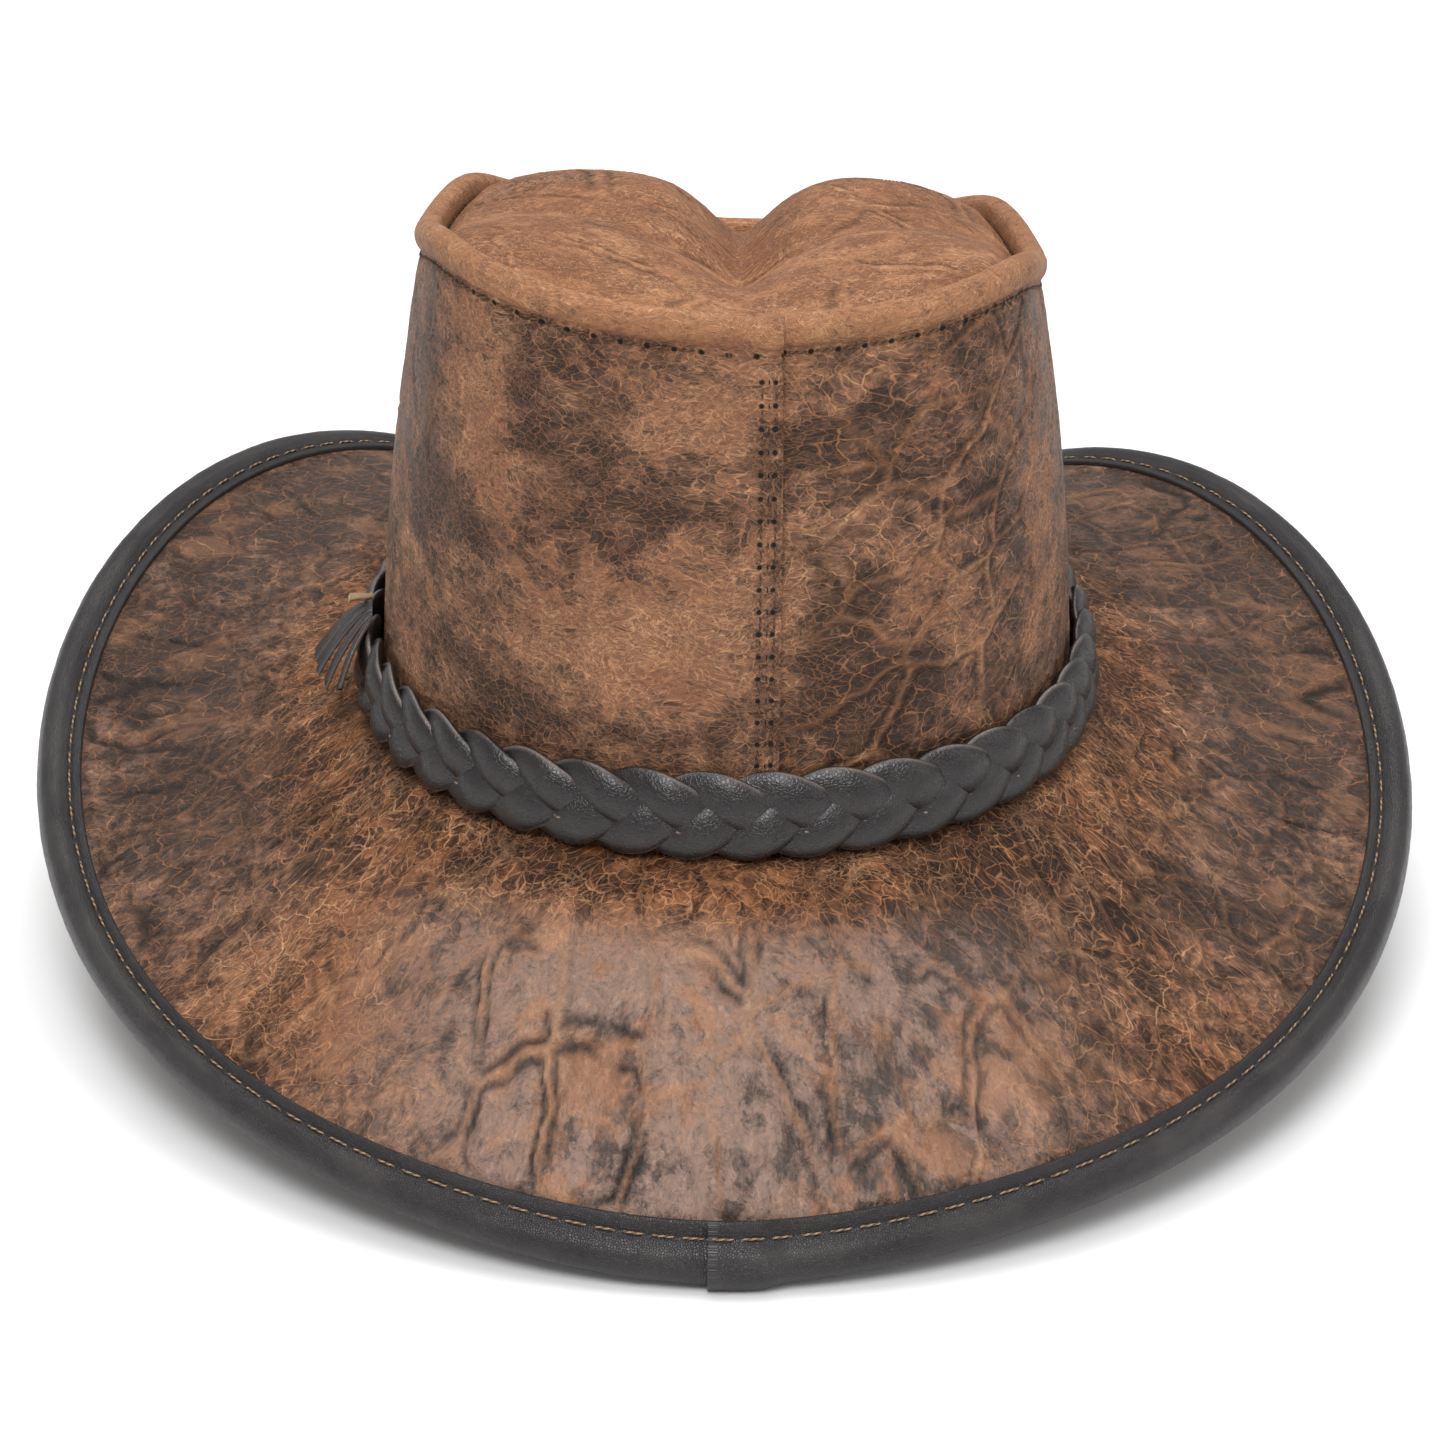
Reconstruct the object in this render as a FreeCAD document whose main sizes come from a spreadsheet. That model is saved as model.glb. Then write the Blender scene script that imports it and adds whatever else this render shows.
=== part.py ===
"""Leather western hat with a sewn plait band, in millimetres.

Frame: +Z up, +Y towards the wearer's forehead, +X towards the wearer's right ear.
The origin is the centre of the head opening, on the plane where crown and brim meet.
Angles run round the hat from the back seam (-Y), through the right side (+X).
"""
import FreeCAD
import Part
import math
import os
from FreeCAD import Vector

# ---------------------------------------------------------------- driving dimensions
DIMENSIONS = (
    # alias, millimetres (or degrees where the name says so), meaning
    ("head_half_width", 87.0, "crown wall at the brim, half width outside"),
    ("head_half_length", 102.2, "crown wall at the brim, half length outside"),
    ("head_egg", 3.5, "how much wider the head shape is at the back than at the forehead"),
    ("rim_half_width", 85.3, "crown rim, first harmonic of the half width"),
    ("rim_boxiness", 11.2, "crown rim, third harmonic that squares its corners"),
    ("rim_corner_fifth", 2.2, "crown rim, fifth harmonic that fills its corners"),
    ("rim_half_length", 82.7, "crown rim, half length"),
    ("rim_shift", 6.4, "crown rim centre ahead of the head opening"),
    ("rim_height", 109.0, "mean height of the crown rim"),
    ("rim_back_rise", 17.2, "crown rim higher at the back than at the front"),
    ("rim_side_rise", 4.2, "crown rim higher at the sides than front and back"),
    ("rim_corner_rise", 4.2, "crown rim higher at its four corners"),
    ("rim_side_tilt", 3.1, "crown rim lower on the right"),
    ("wall_bulge", 2.5, "how far the crown wall bows outwards at mid height"),
    ("edge_half_width", 161.2, "brim outline, first harmonic of the half width"),
    ("edge_side_reach", 18.5, "brim outline, third harmonic that pushes the sides out"),
    ("edge_half_length", 190.7, "brim outline, first harmonic of the half length"),
    ("edge_length_third", 16.1, "brim outline, third harmonic of the length"),
    ("edge_length_second", 4.4, "brim outline, second harmonic of the length"),
    ("edge_shift", 7.8, "brim outline centre ahead of the head opening"),
    ("edge_drop", 38.0, "mean depth of the brim edge below the crown base"),
    ("edge_tilt", 25.4, "brim edge lower behind than in front"),
    ("edge_roll_up", 21.7, "brim edge higher at the sides than front and back"),
    ("edge_roll_forward", 19.3, "moves the highest part of the side roll forwards"),
    ("edge_roll_sharp", 6.9, "fourth harmonic of the side roll"),
    ("edge_side_drop", 2.9, "right side of the brim lower than the left"),
    ("edge_front_reach", 18.0, "front of the brim further out"),
    ("edge_front_dip", 8.8, "front of the brim further down"),
    ("edge_quarter_dip", 3.6, "side rolls lower where they run towards the front"),
    ("brim_sag", 1.5, "mean bow of the brim between crown and edge"),
    ("brim_sag_change", 8.5, "brim bows up front and back, and hangs at the sides"),
    ("wall_leather", 1.8, "crown leather"),
    ("brim_leather", 1.4, "each brim leather"),
    ("stiffener_thick", 1.0, "stiffener between the brim leathers"),
    ("upstand_height", 12.0, "margin of the top brim leather turned up inside the crown"),
    ("tip_drop", 4.5, "tip panel's edge above the rim stitching"),
    ("tip_inset", 6.0, "tip panel's edge inside the rim stitching"),
    ("tip_centre", 112.6, "tip panel at its middle before humps and crease"),
    ("tip_hump", 11.3, "height of the two humps"),
    ("tip_crease", 18.7, "depth of the crease between the humps"),
    ("tip_crease_width", 11.9, "half width of the crease"),
    ("tip_crease_side", 2.0, "crease to the right of the middle"),
    ("tip_valley", 3.5, "depth of the shallow hollow across the panel"),
    ("binding_reach", 8.0, "how far the binding covers the brim"),
    ("binding_row", 3.3, "binding stitches in from its lip"),
    ("binding_leather", 1.3, "top of the binding strip above the brim leather"),
    ("binding_roll", 4.1, "binding roll beyond the brim leather"),
    ("wire_radius", 1.05, "brim wire"),
    ("ferrule_bore", 1.15, "ferrule hole radius"),
    ("ferrule_radius", 1.38, "ferrule outside radius"),
    ("ferrule_length", 9.0, "ferrule length"),
    ("sweatband_height", 36.0, "sweatband, from its sewn edge up"),
    ("sweatband_leather", 1.1, "sweatband leather"),
    ("tape_height", 12.5, "tape over the raw margin inside the crown"),
    ("tape_thick", 0.4, "the same tape"),
    ("plait_swing", 5.0, "strand centre line either side of the plait's middle"),
    ("plait_weave", 1.25, "strand centre line in and out of the plait"),
    ("strand_half_width", 5.4, "half width of a strand"),
    ("strand_thick", 2.0, "strand"),
    ("plait_height", 11.2, "plait middle above the crown base"),
    ("thread_radius", 0.35, "sewing thread"),
    ("thong_thick", 1.2, "tassel thong"),
    ("thong_root", 2.6, "width of a thong where it leaves the plait"),
)
PLAIT_TURNS = 14
ROUND_STEPS = 64            # control points round a closed ring
LAP_STEPS = 160             # control points round a ring whose ends overlap
STRAND_STEPS = 12 * PLAIT_TURNS

BRIM_STATIONS = (0.06, 0.18, 0.34, 0.5, 0.66, 0.82, 0.93, 0.985)
QUARTER_ANGLE = 122.0       # degrees from the back to the middle of the brim's quarter dip
QUARTER_SPREAD = 24.0
UP = Vector(0, 0, 1)

doc = FreeCAD.newDocument("western_hat")
sheet = doc.addObject("Spreadsheet::Sheet", "Dimensions")
for line, (alias, value, meaning) in enumerate(DIMENSIONS, start=1):
    sheet.set("A%d" % line, alias)
    sheet.set("B%d" % line, str(value))
    sheet.set("C%d" % line, meaning)
    sheet.setAlias("B%d" % line, alias)
doc.recompute()
size = {alias: float(sheet.get(alias)) for alias, _, _ in DIMENSIONS}


# ---------------------------------------------------------------- curves of the hat
def crown_base(angle):
    """Outside of the crown wall where it meets the brim."""
    x = size["head_half_width"] * math.sin(angle) + size["head_egg"] * math.sin(2 * angle)
    return Vector(x, -size["head_half_length"] * math.cos(angle), 0)


def crown_rim(angle):
    """Outside of the crown wall at the stitching below the bead."""
    x = (size["rim_half_width"] * math.sin(angle) + size["rim_boxiness"] * math.sin(3 * angle)
         + size["rim_corner_fifth"] * math.sin(5 * angle))
    y = size["rim_shift"] - size["rim_half_length"] * math.cos(angle)
    z = (size["rim_height"] + size["rim_back_rise"] * math.cos(angle)
         - size["rim_side_rise"] * math.cos(2 * angle) - size["rim_corner_rise"] * math.cos(4 * angle)
         - size["rim_side_tilt"] * math.sin(angle))
    return Vector(x, y, z)


def brim_outline(angle):
    """Outermost line of the binding roll."""
    x = size["edge_half_width"] * math.sin(angle) - size["edge_side_reach"] * math.sin(3 * angle)
    front = ((1 - math.cos(angle)) / 2) ** 3
    y = (size["edge_shift"] - size["edge_half_length"] * math.cos(angle)
         - size["edge_length_second"] * math.cos(2 * angle)
         + size["edge_length_third"] * math.cos(3 * angle) + size["edge_front_reach"] * front)
    from_back = math.degrees(abs(math.remainder(angle, 2 * math.pi)))
    quarter = math.exp(-((from_back - QUARTER_ANGLE) / QUARTER_SPREAD) ** 2)
    z = (-size["edge_drop"] - size["edge_tilt"] * math.cos(angle)
         - size["edge_roll_up"] * math.cos(2 * angle) + size["edge_roll_forward"] * math.cos(3 * angle)
         - size["edge_roll_sharp"] * math.cos(4 * angle) - size["edge_side_drop"] * math.sin(angle) ** 3
         - size["edge_front_dip"] * front - size["edge_quarter_dip"] * quarter)
    return Vector(x, y, z)


def outward(curve, angle):
    """Horizontal direction away from the hat's middle, square to a ring curve."""
    step = 1e-4
    along = curve(angle + step) - curve(angle - step)
    return Vector(along.y, -along.x, 0).normalize()


def wall_at(angle, height):
    """Outside of the crown wall, height 0 at the brim and 1 at the rim stitching."""
    base = crown_base(angle)
    bow = size["wall_bulge"] * 4 * height * (1 - height)
    return base + (crown_rim(angle) - base) * height + outward(crown_base, angle) * bow


def wall_at_level(angle, level):
    """Outside of the crown wall at a level in millimetres above the brim."""
    return wall_at(angle, level / crown_rim(angle).z)


def brim_top(angle, across):
    """Top of the brim, across 0 beside the crown and 1 at the leather's edge."""
    inner = crown_base(angle) + outward(crown_base, angle) * 5.0
    outer = brim_outline(angle) - outward(brim_outline, angle) * size["binding_roll"]
    sag = size["brim_sag"] + size["brim_sag_change"] * math.cos(2 * angle)
    return inner + (outer - inner) * across + UP * (sag * 4 * across * (1 - across))


def brim_normal(angle, across):
    """Upward direction square to the brim's top."""
    step = 1e-3
    round_hat = brim_top(angle + step, across) - brim_top(angle - step, across)
    away = brim_top(angle, across + step) - brim_top(angle, across - step)
    return away.cross(round_hat).normalize()


# ---------------------------------------------------------------- solids from thin leather
def knots_for(count, degree):
    """Multiplicities and knots of a clamped uniform spline with count poles."""
    spans = count - degree
    return [degree + 1] + [1] * (spans - 1) + [degree + 1], list(range(spans + 1))


def smooth_rows(rows, closed):
    """Poles whose cubic spline passes through the given rows round the hat."""
    count = len(rows)
    poles = []
    for i, row in enumerate(rows):
        if not closed and i in (0, count - 1):
            poles.append(list(row))
            continue
        neighbours = zip(rows[i - 1], row, rows[(i + 1) % count])
        poles.append([point - (low - point * 2 + high) * (1 / 6) for low, point, high in neighbours])
    return poles


def spline_face(poles, closed):
    """Face over a grid of poles; closed joins the last row to the first."""
    rows = len(poles)
    degree_v = min(3, len(poles[0]) - 1)
    if closed:
        degree_u = 3
        u_mults = [1] * (rows + 1)
        u_knots = list(range(rows + 1))
    else:
        degree_u = min(3, rows - 1)
        u_mults, u_knots = knots_for(rows, degree_u)
    v_mults, v_knots = knots_for(len(poles[0]), degree_v)
    surface = Part.BSplineSurface()
    surface.buildFromPolesMultsKnots(poles, u_mults, v_mults, u_knots, v_knots,
                                     closed, False, degree_u, degree_v)
    return surface.toShape()


def leather_solid(outer_rows, inner_rows, closed=True):
    """Solid between two grids of points, one on each face of a strip of leather."""
    outer = smooth_rows(outer_rows, closed)
    inner = smooth_rows(inner_rows, closed)
    faces = [spline_face(outer, closed), spline_face(inner, closed)]
    for edge in (0, -1):
        faces.append(spline_face([[one[edge], two[edge]] for one, two in zip(outer, inner)], closed))
    if not closed:
        for end in (0, -1):
            faces.append(spline_face([[one, two] for one, two in zip(outer[end], inner[end])], False))
    skin = Part.Compound(faces)
    skin.sewShape()
    solid = Part.Solid(Part.Shell(skin.Faces))
    if solid.Volume < 0:
        solid.reverse()
    return solid


def ring_angles():
    return [2 * math.pi * i / ROUND_STEPS for i in range(ROUND_STEPS)]


def ring_solid(outer_at, inner_at):
    """Closed ring of leather from two functions that give one row of points per angle."""
    angles = ring_angles()
    return leather_solid([outer_at(a) for a in angles], [inner_at(a) for a in angles])


def add_feature(label, shape):
    """Document object that holds a computed shape under the node's name."""
    feature = doc.addObject("Part::Feature", label)
    feature.Label = label
    feature.Shape = shape
    feature.Placement = FreeCAD.Placement()
    return feature


def stitches(centre_at, tangent_at, stations, length):
    """Short straight pieces of thread laid end to end along a seam."""
    radius = size["thread_radius"]
    pieces = []
    for station in stations:
        along = tangent_at(station).normalize()
        start = centre_at(station) - along * (length / 2)
        pieces.append(Part.makeCylinder(radius, length, start, along))
    return Part.Compound(pieces)


def even_angles(curve, pitch, start=0.0, stop=2 * math.pi):
    """Angles that divide a stretch of a ring curve into equal steps of about one pitch."""
    fine = 2000
    marks = [start + (stop - start) * i / fine for i in range(fine + 1)]
    run = [0.0]
    for low, high in zip(marks, marks[1:]):
        run.append(run[-1] + (curve(high) - curve(low)).Length)
    count = int(round(run[-1] / pitch))
    angles = []
    place = 0
    for k in range(count):
        target = run[-1] * (k + 0.5) / count
        while run[place + 1] < target:
            place += 1
        share = (target - run[place]) / (run[place + 1] - run[place])
        angles.append(marks[place] + (marks[place + 1] - marks[place]) * share)
    return angles


def tangent_of(curve):
    """Function for the direction along a curve."""
    step = 1e-3

    def tangent(place):
        return curve(place + step) - curve(place - step)

    return tangent


def lift_near_end(position, ramp_start, ramp_stop):
    """0 before the ramp, 1 after it, with a smooth step between."""
    share = min(max((position - ramp_start) / (ramp_stop - ramp_start), 0.0), 1.0)
    return share * share * (3 - 2 * share)


# ---------------------------------------------------------------- crown
BEAD = ((1.2, 2.2), (1.3, 5.4), (-1.2, 7.6), (-4.1, 6.6), (-4.9, 3.2), (-4.5, -0.5))
BEAD_MIDDLE = (-1.6, 3.2)
WALL_STATIONS = (0.0, 0.12, 0.3, 0.5, 0.7, 0.88, 1.0)
WALL_FOOT = 0.8             # wall's cut edge above the bend of the brim leather
LAP_START = math.radians(2.5)
LAP_EDGE = 12.5             # upright edge of the lap to the right of the middle
LAP_GAP = 0.1


def width_rate(height):
    """Millimetres to the right per radian at the back, at a height on the crown wall."""
    base = size["head_half_width"] + 2 * size["head_egg"]
    rim = size["rim_half_width"] + 3 * size["rim_boxiness"] + 5 * size["rim_corner_fifth"]
    return base + (rim - base) * height


def upright(angle, height):
    """Angle of the wall's strip at a height, so that the edge of its lap stands upright."""
    past_back = max(angle - 2 * math.pi, 0)
    return angle - past_back * (1 - width_rate(0) / width_rate(height))


def wall_rows(angle, lift):
    """One row of points on each face of the crown wall, up over the bead."""
    side = outward(crown_base, angle)
    thick = size["wall_leather"]
    outer = []
    inner = []
    for height in WALL_STATIONS:
        face = wall_at(upright(angle, height), height) + side * lift
        if height == 0:
            face = face + UP * WALL_FOOT
        outer.append(face)
        inner.append(face - side * thick)
    top_angle = upright(angle, 1)
    top_side = outward(crown_rim, top_angle)
    rim = crown_rim(top_angle) + top_side * lift
    for out, rise in BEAD:
        to_middle = Vector(BEAD_MIDDLE[0] - out, BEAD_MIDDLE[1] - rise, 0).normalize() * thick
        outer.append(rim + top_side * out + UP * rise)
        inner.append(rim + top_side * (out + to_middle.x) + UP * (rise + to_middle.y))
    return outer, inner


def make_crown_wall():
    lap_end = 2 * math.pi + LAP_EDGE / width_rate(0)
    ramp_start = 2 * math.pi - math.radians(5)
    ramp_stop = 2 * math.pi + LAP_START - math.radians(0.5)
    outer_rows = []
    inner_rows = []
    for i in range(LAP_STEPS + 1):
        angle = LAP_START + (lap_end - LAP_START) * i / LAP_STEPS
        lift = (size["wall_leather"] + LAP_GAP) * lift_near_end(angle, ramp_start, ramp_stop)
        outer, inner = wall_rows(angle, lift)
        outer_rows.append(outer)
        inner_rows.append(inner)
    return add_feature("crown_wall", leather_solid(outer_rows, inner_rows, closed=False))


HUMP_FULLNESS = 1.15
CREASE_SHARPNESS = 1.6
CREASE_FADE = 40.0          # the crease runs out towards the back over this length
VALLEY_BACK = 18.0          # middle of the shallow hollow behind the rim's centre line
VALLEY_CURVE = 0.008
VALLEY_WIDTH = 10.0
BEYOND_EDGE = 1.15          # largest share of the way out at which the panel is worked out


def rim_towards(x, y):
    """Point of the crown rim in the direction of a point of the tip panel."""
    wanted = math.atan2(x, size["rim_shift"] - y)
    angle = wanted
    for _ in range(8):
        rim = crown_rim(angle)
        missed = math.remainder(wanted - math.atan2(rim.x, size["rim_shift"] - rim.y), 2 * math.pi)
        angle += 0.8 * missed
    return crown_rim(angle)


def tip_height(x, y):
    """Top of the tip panel: the rim's height at its edge, two humps and a crease inside."""
    rim = rim_towards(x, y)
    reach = math.hypot(rim.x, rim.y - size["rim_shift"]) - size["tip_inset"]
    share = min(math.hypot(x, y - size["rim_shift"]) / reach, BEYOND_EDGE)
    edge = rim.z + size["tip_drop"]
    inside = max(1 - share ** 2, 0)
    hump = size["tip_hump"] * max(1 - share ** 4, 0) ** HUMP_FULLNESS
    off_crease = abs(x - size["tip_crease_side"]) / size["tip_crease_width"]
    crease = size["tip_crease"] * inside ** 0.6 * math.exp(-off_crease ** CREASE_SHARPNESS)
    crease *= (1 + math.tanh((y + CREASE_FADE) / CREASE_FADE)) / 2
    off_valley = (y + VALLEY_BACK - VALLEY_CURVE * x * x) / VALLEY_WIDTH
    valley = size["tip_valley"] * inside * math.exp(-off_valley ** 2)
    return size["tip_centre"] + (edge - size["tip_centre"]) * share ** 2 + hump - crease - valley


def make_crown_tip():
    """Creased panel: a wide sheet with the tip's relief, cut to the line inside the rim."""
    grid = 47
    half_x = 86.0
    half_y = 96.0
    rows = []
    for i in range(grid):
        x = -half_x + 2 * half_x * i / (grid - 1)
        row = []
        for j in range(grid):
            y = -half_y + 2 * half_y * j / (grid - 1)
            row.append(Vector(x, y, tip_height(x, y)))
        rows.append(row)
    surface = Part.BSplineSurface()
    surface.interpolate(rows)
    slab = add_feature("tip_slab", surface.toShape().extrude(Vector(0, 0, -size["wall_leather"])))
    outline = []
    for angle in ring_angles():
        point = crown_rim(angle) - outward(crown_rim, angle) * size["tip_inset"]
        outline.append(Vector(point.x, point.y, 0))
    curve = Part.BSplineCurve()
    curve.interpolate(outline, PeriodicFlag=True)
    panel = Part.Face(Part.Wire(curve.toShape())).extrude(Vector(0, 0, 200))
    cutter = add_feature("tip_outline", panel)
    tip = doc.addObject("Part::Common", "crown_tip")
    tip.Label = "crown_tip"
    tip.Base = slab
    tip.Tool = cutter
    return tip


def rim_offset(out, rise):
    """Ring curve beside the crown rim."""
    def line(angle):
        return crown_rim(angle) + outward(crown_rim, angle) * out + UP * rise

    return line


def make_rim_stitching():
    line = rim_offset(0.75, -1.2)
    angles = even_angles(line, 6.3)
    return add_feature("crown_top_stitching", stitches(line, tangent_of(line), angles, 4.6))


def make_tip_seam_stitching():
    line = rim_offset(-5.5, 1.9)
    angles = even_angles(line, 5.0)
    return add_feature("crown_tip_seam_stitching", stitches(line, tangent_of(line), angles, 3.4))


SEAM_ROWS = {"back_seam_stitching_left": 7.7, "back_seam_stitching_right": 10.9}
SEAM_PITCH = 5.2
SEAM_FOOT = 25.0            # lowest stitch above the brim, just over the plait
SEAM_MARGIN = 3.0           # seam ends this far below the rim stitching


def make_seam_rows():
    """Two upright rows of stitches through the lap at the back."""
    lap = size["wall_leather"] + LAP_GAP + size["thread_radius"]
    rows = []
    for label, x in SEAM_ROWS.items():
        top = crown_rim(x / width_rate(1)).z

        def line(level, x=x, top=top):
            height = level / top
            angle = x / width_rate(height)
            return wall_at(angle, height) + outward(crown_base, angle) * lap

        count = int((top - SEAM_MARGIN - SEAM_FOOT) / SEAM_PITCH)
        levels = [SEAM_FOOT + SEAM_PITCH * k for k in range(count)]
        rows.append(add_feature(label, stitches(line, tangent_of(line), levels, 3.8)))
    return rows


# ---------------------------------------------------------------- brim
def brim_depth():
    """Thickness of the whole brim."""
    return 2 * size["brim_leather"] + size["stiffener_thick"]


BRIM_INNER_EDGE = -3.0      # lower brim layers reach this far under the crown
UPSTAND_GAP = 0.1


def brim_face(depth, start_row):
    """Function for the row of points on one face of a brim layer, from the crown outwards."""
    def row_at(angle):
        side = outward(crown_base, angle)
        base = crown_base(angle) - UP * depth
        row = start_row(angle, side, base)
        row += [base + side * 0.5, base + side * 3.5]
        for across in BRIM_STATIONS:
            row.append(brim_top(angle, across) - brim_normal(angle, across) * depth)
        return row

    return row_at


def flat_start(angle, side, base):
    """First point of a brim layer that ends flat under the crown."""
    return [base + side * BRIM_INNER_EDGE]


def upstand_start(depth):
    """First points of the top leather, which turns up inside the crown."""
    offset = -size["wall_leather"] - UPSTAND_GAP - depth

    def start_row(angle, side, base):
        levels = (size["upstand_height"], size["upstand_height"] / 2, 1.5 - depth)
        row = [wall_at_level(angle, level) + side * offset for level in levels]
        row.append(base + side * (offset + 0.2))
        return row

    return start_row


def make_brim_layers():
    leather = size["brim_leather"]
    under = leather + size["stiffener_thick"]
    top = ring_solid(brim_face(0, upstand_start(0)), brim_face(leather, upstand_start(leather)))
    middle = ring_solid(brim_face(leather, flat_start), brim_face(under, flat_start))
    bottom = ring_solid(brim_face(under, flat_start), brim_face(brim_depth(), flat_start))
    return [add_feature("brim_top_leather", top),
            add_feature("brim_stiffener", middle),
            add_feature("brim_under_leather", bottom)]


def edge_point(angle, out, rise):
    """Point beside the brim's edge: out past the leather's edge, rise above its top."""
    inner = crown_base(angle)
    width = (brim_top(angle, 1) - inner).Length
    across = 1 + min(out, 0) / width
    normal = brim_normal(angle, across)
    away = brim_top(angle, 1) - brim_top(angle, 0.97)
    along = brim_top(angle + 1e-3, 1) - brim_top(angle - 1e-3, 1)
    away = (away - along * (away.dot(along) / along.dot(along))).normalize()
    return brim_top(angle, across) + away * max(out, 0) + normal * rise


BINDING_START = math.radians(4.0)       # covered end, to the right of the back
BINDING_END = math.radians(-361.2)      # end on top, just left of the back
BINDING_RAMP = (math.radians(350.5), math.radians(355))
BINDING_LAP = 1.4                       # rise of the end on top over the covered end
BINDING_GAP = 0.2
# points of the strip's half section, out past the brim leather's edge and above its face
BINDING_INSIDE = ((-6.4, BINDING_GAP), (-5.2, 0.3), (-3.4, 1.05), (-1.0, 1.9), (2.1, 1.2))
BINDING_OUTSIDE = ((-6.6, 1.35), (-5.2, 1.55), (-3.2, 2.3), (-1.2, 3.2), (2.9, 2.2))


def binding_lift(angle):
    """Rise of the binding where its end lies over its start, for an angle that runs leftwards."""
    return BINDING_LAP * lift_near_end(-angle, *BINDING_RAMP)


def binding_rows(angle):
    """One row of points on each face of the binding, from its upper lip round to its lower."""
    deep = brim_depth()
    reach = size["binding_reach"]
    lift = binding_lift(angle)
    inner_top = ((-reach, BINDING_GAP),) + BINDING_INSIDE
    outer_top = ((-reach, size["binding_leather"]),) + BINDING_OUTSIDE
    inner_under = tuple((out, -deep - rise) for out, rise in reversed(inner_top))
    outer_under = tuple((out, -deep - rise) for out, rise in reversed(outer_top))
    inner_half = inner_top + ((3.4, -deep / 2),) + inner_under
    outer_half = outer_top + ((4.7, -deep / 2),) + outer_under
    inner = []
    outer = []
    for (out_a, rise_a), (out_b, rise_b) in zip(inner_half, outer_half):
        away = Vector(out_b - out_a, rise_b - rise_a, 0).normalize() * lift
        inner.append(edge_point(angle, out_a + away.x, rise_a + away.y))
        outer.append(edge_point(angle, out_b + away.x, rise_b + away.y))
    return outer, inner


def make_binding():
    outer_rows = []
    inner_rows = []
    for i in range(LAP_STEPS + 1):
        outer, inner = binding_rows(BINDING_START + (BINDING_END - BINDING_START) * i / LAP_STEPS)
        outer_rows.append(outer)
        inner_rows.append(inner)
    return add_feature("brim_binding", leather_solid(outer_rows, inner_rows, closed=False))


def make_binding_stitching():
    rise = 1.65 + size["thread_radius"]

    def line(angle):
        place = size["binding_row"] - size["binding_reach"]
        return edge_point(angle, place, rise + binding_lift(angle - 2 * math.pi))

    first = BINDING_END + 2 * math.pi
    angles = even_angles(line, 6.9, first, first + 2 * math.pi)
    return add_feature("brim_binding_stitching", stitches(line, tangent_of(line), angles, 5.4))


WIRE_OUT = 1.45             # middle of the wire past the brim leather's edge
WIRE_SIDES = 14


def make_wire():
    """Round wire, closed on itself, in the roll of the binding."""
    step = 2 * math.pi / WIRE_SIDES
    radius = size["wire_radius"] * 6 / (4 + 2 * math.cos(step))
    rows = []
    for angle in ring_angles():
        row = []
        for k in range(WIRE_SIDES):
            out = WIRE_OUT + radius * math.cos(step * k)
            row.append(edge_point(angle, out, radius * math.sin(step * k) - brim_depth() / 2))
        rows.append(row)
    round_knots = list(range(ROUND_STEPS + 1))
    section_knots = list(range(WIRE_SIDES + 1))
    surface = Part.BSplineSurface()
    surface.buildFromPolesMultsKnots(smooth_rows(rows, True), [1] * len(round_knots),
                                     [1] * len(section_knots), round_knots, section_knots,
                                     True, True, 3, 3)
    solid = Part.Solid(Part.Shell([surface.toShape()]))
    if solid.Volume < 0:
        solid.reverse()
    return add_feature("brim_wire", solid)


FERRULE_ANGLE = math.radians(-20)


def make_ferrule():
    """Crimped sleeve over the joint of the wire."""
    outside = doc.addObject("Part::Cylinder", "ferrule_outside")
    hole = doc.addObject("Part::Cylinder", "ferrule_hole")
    outside.setExpression("Radius", "Dimensions.ferrule_radius")
    hole.setExpression("Radius", "Dimensions.ferrule_bore")
    for cylinder in (outside, hole):
        cylinder.setExpression("Height", "Dimensions.ferrule_length")
        cylinder.Placement.Base = Vector(0, 0, -size["ferrule_length"] / 2)
    sleeve = doc.addObject("Part::Cut", "brim_wire_ferrule")
    sleeve.Label = "brim_wire_ferrule"
    sleeve.Base = outside
    sleeve.Tool = hole

    def line(angle):
        return edge_point(angle, WIRE_OUT, -brim_depth() / 2)

    along = tangent_of(line)(FERRULE_ANGLE)
    sleeve.Placement = FreeCAD.Placement(line(FERRULE_ANGLE), FreeCAD.Rotation(UP, along))
    return sleeve


# ---------------------------------------------------------------- inside the crown
def band_inside(outside_offset, thick, levels):
    """Ring of strip that lines the crown wall."""
    def row(angle, offset):
        side = outward(crown_base, angle)
        return [wall_at_level(angle, level) - side * offset for level in levels]

    def outside(angle):
        return row(angle, outside_offset)

    def inside(angle):
        return row(angle, outside_offset + thick)

    return ring_solid(outside, inside)


TAPE_OFFSET = 3.4
SWEATBAND_OFFSET = 4.5


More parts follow.
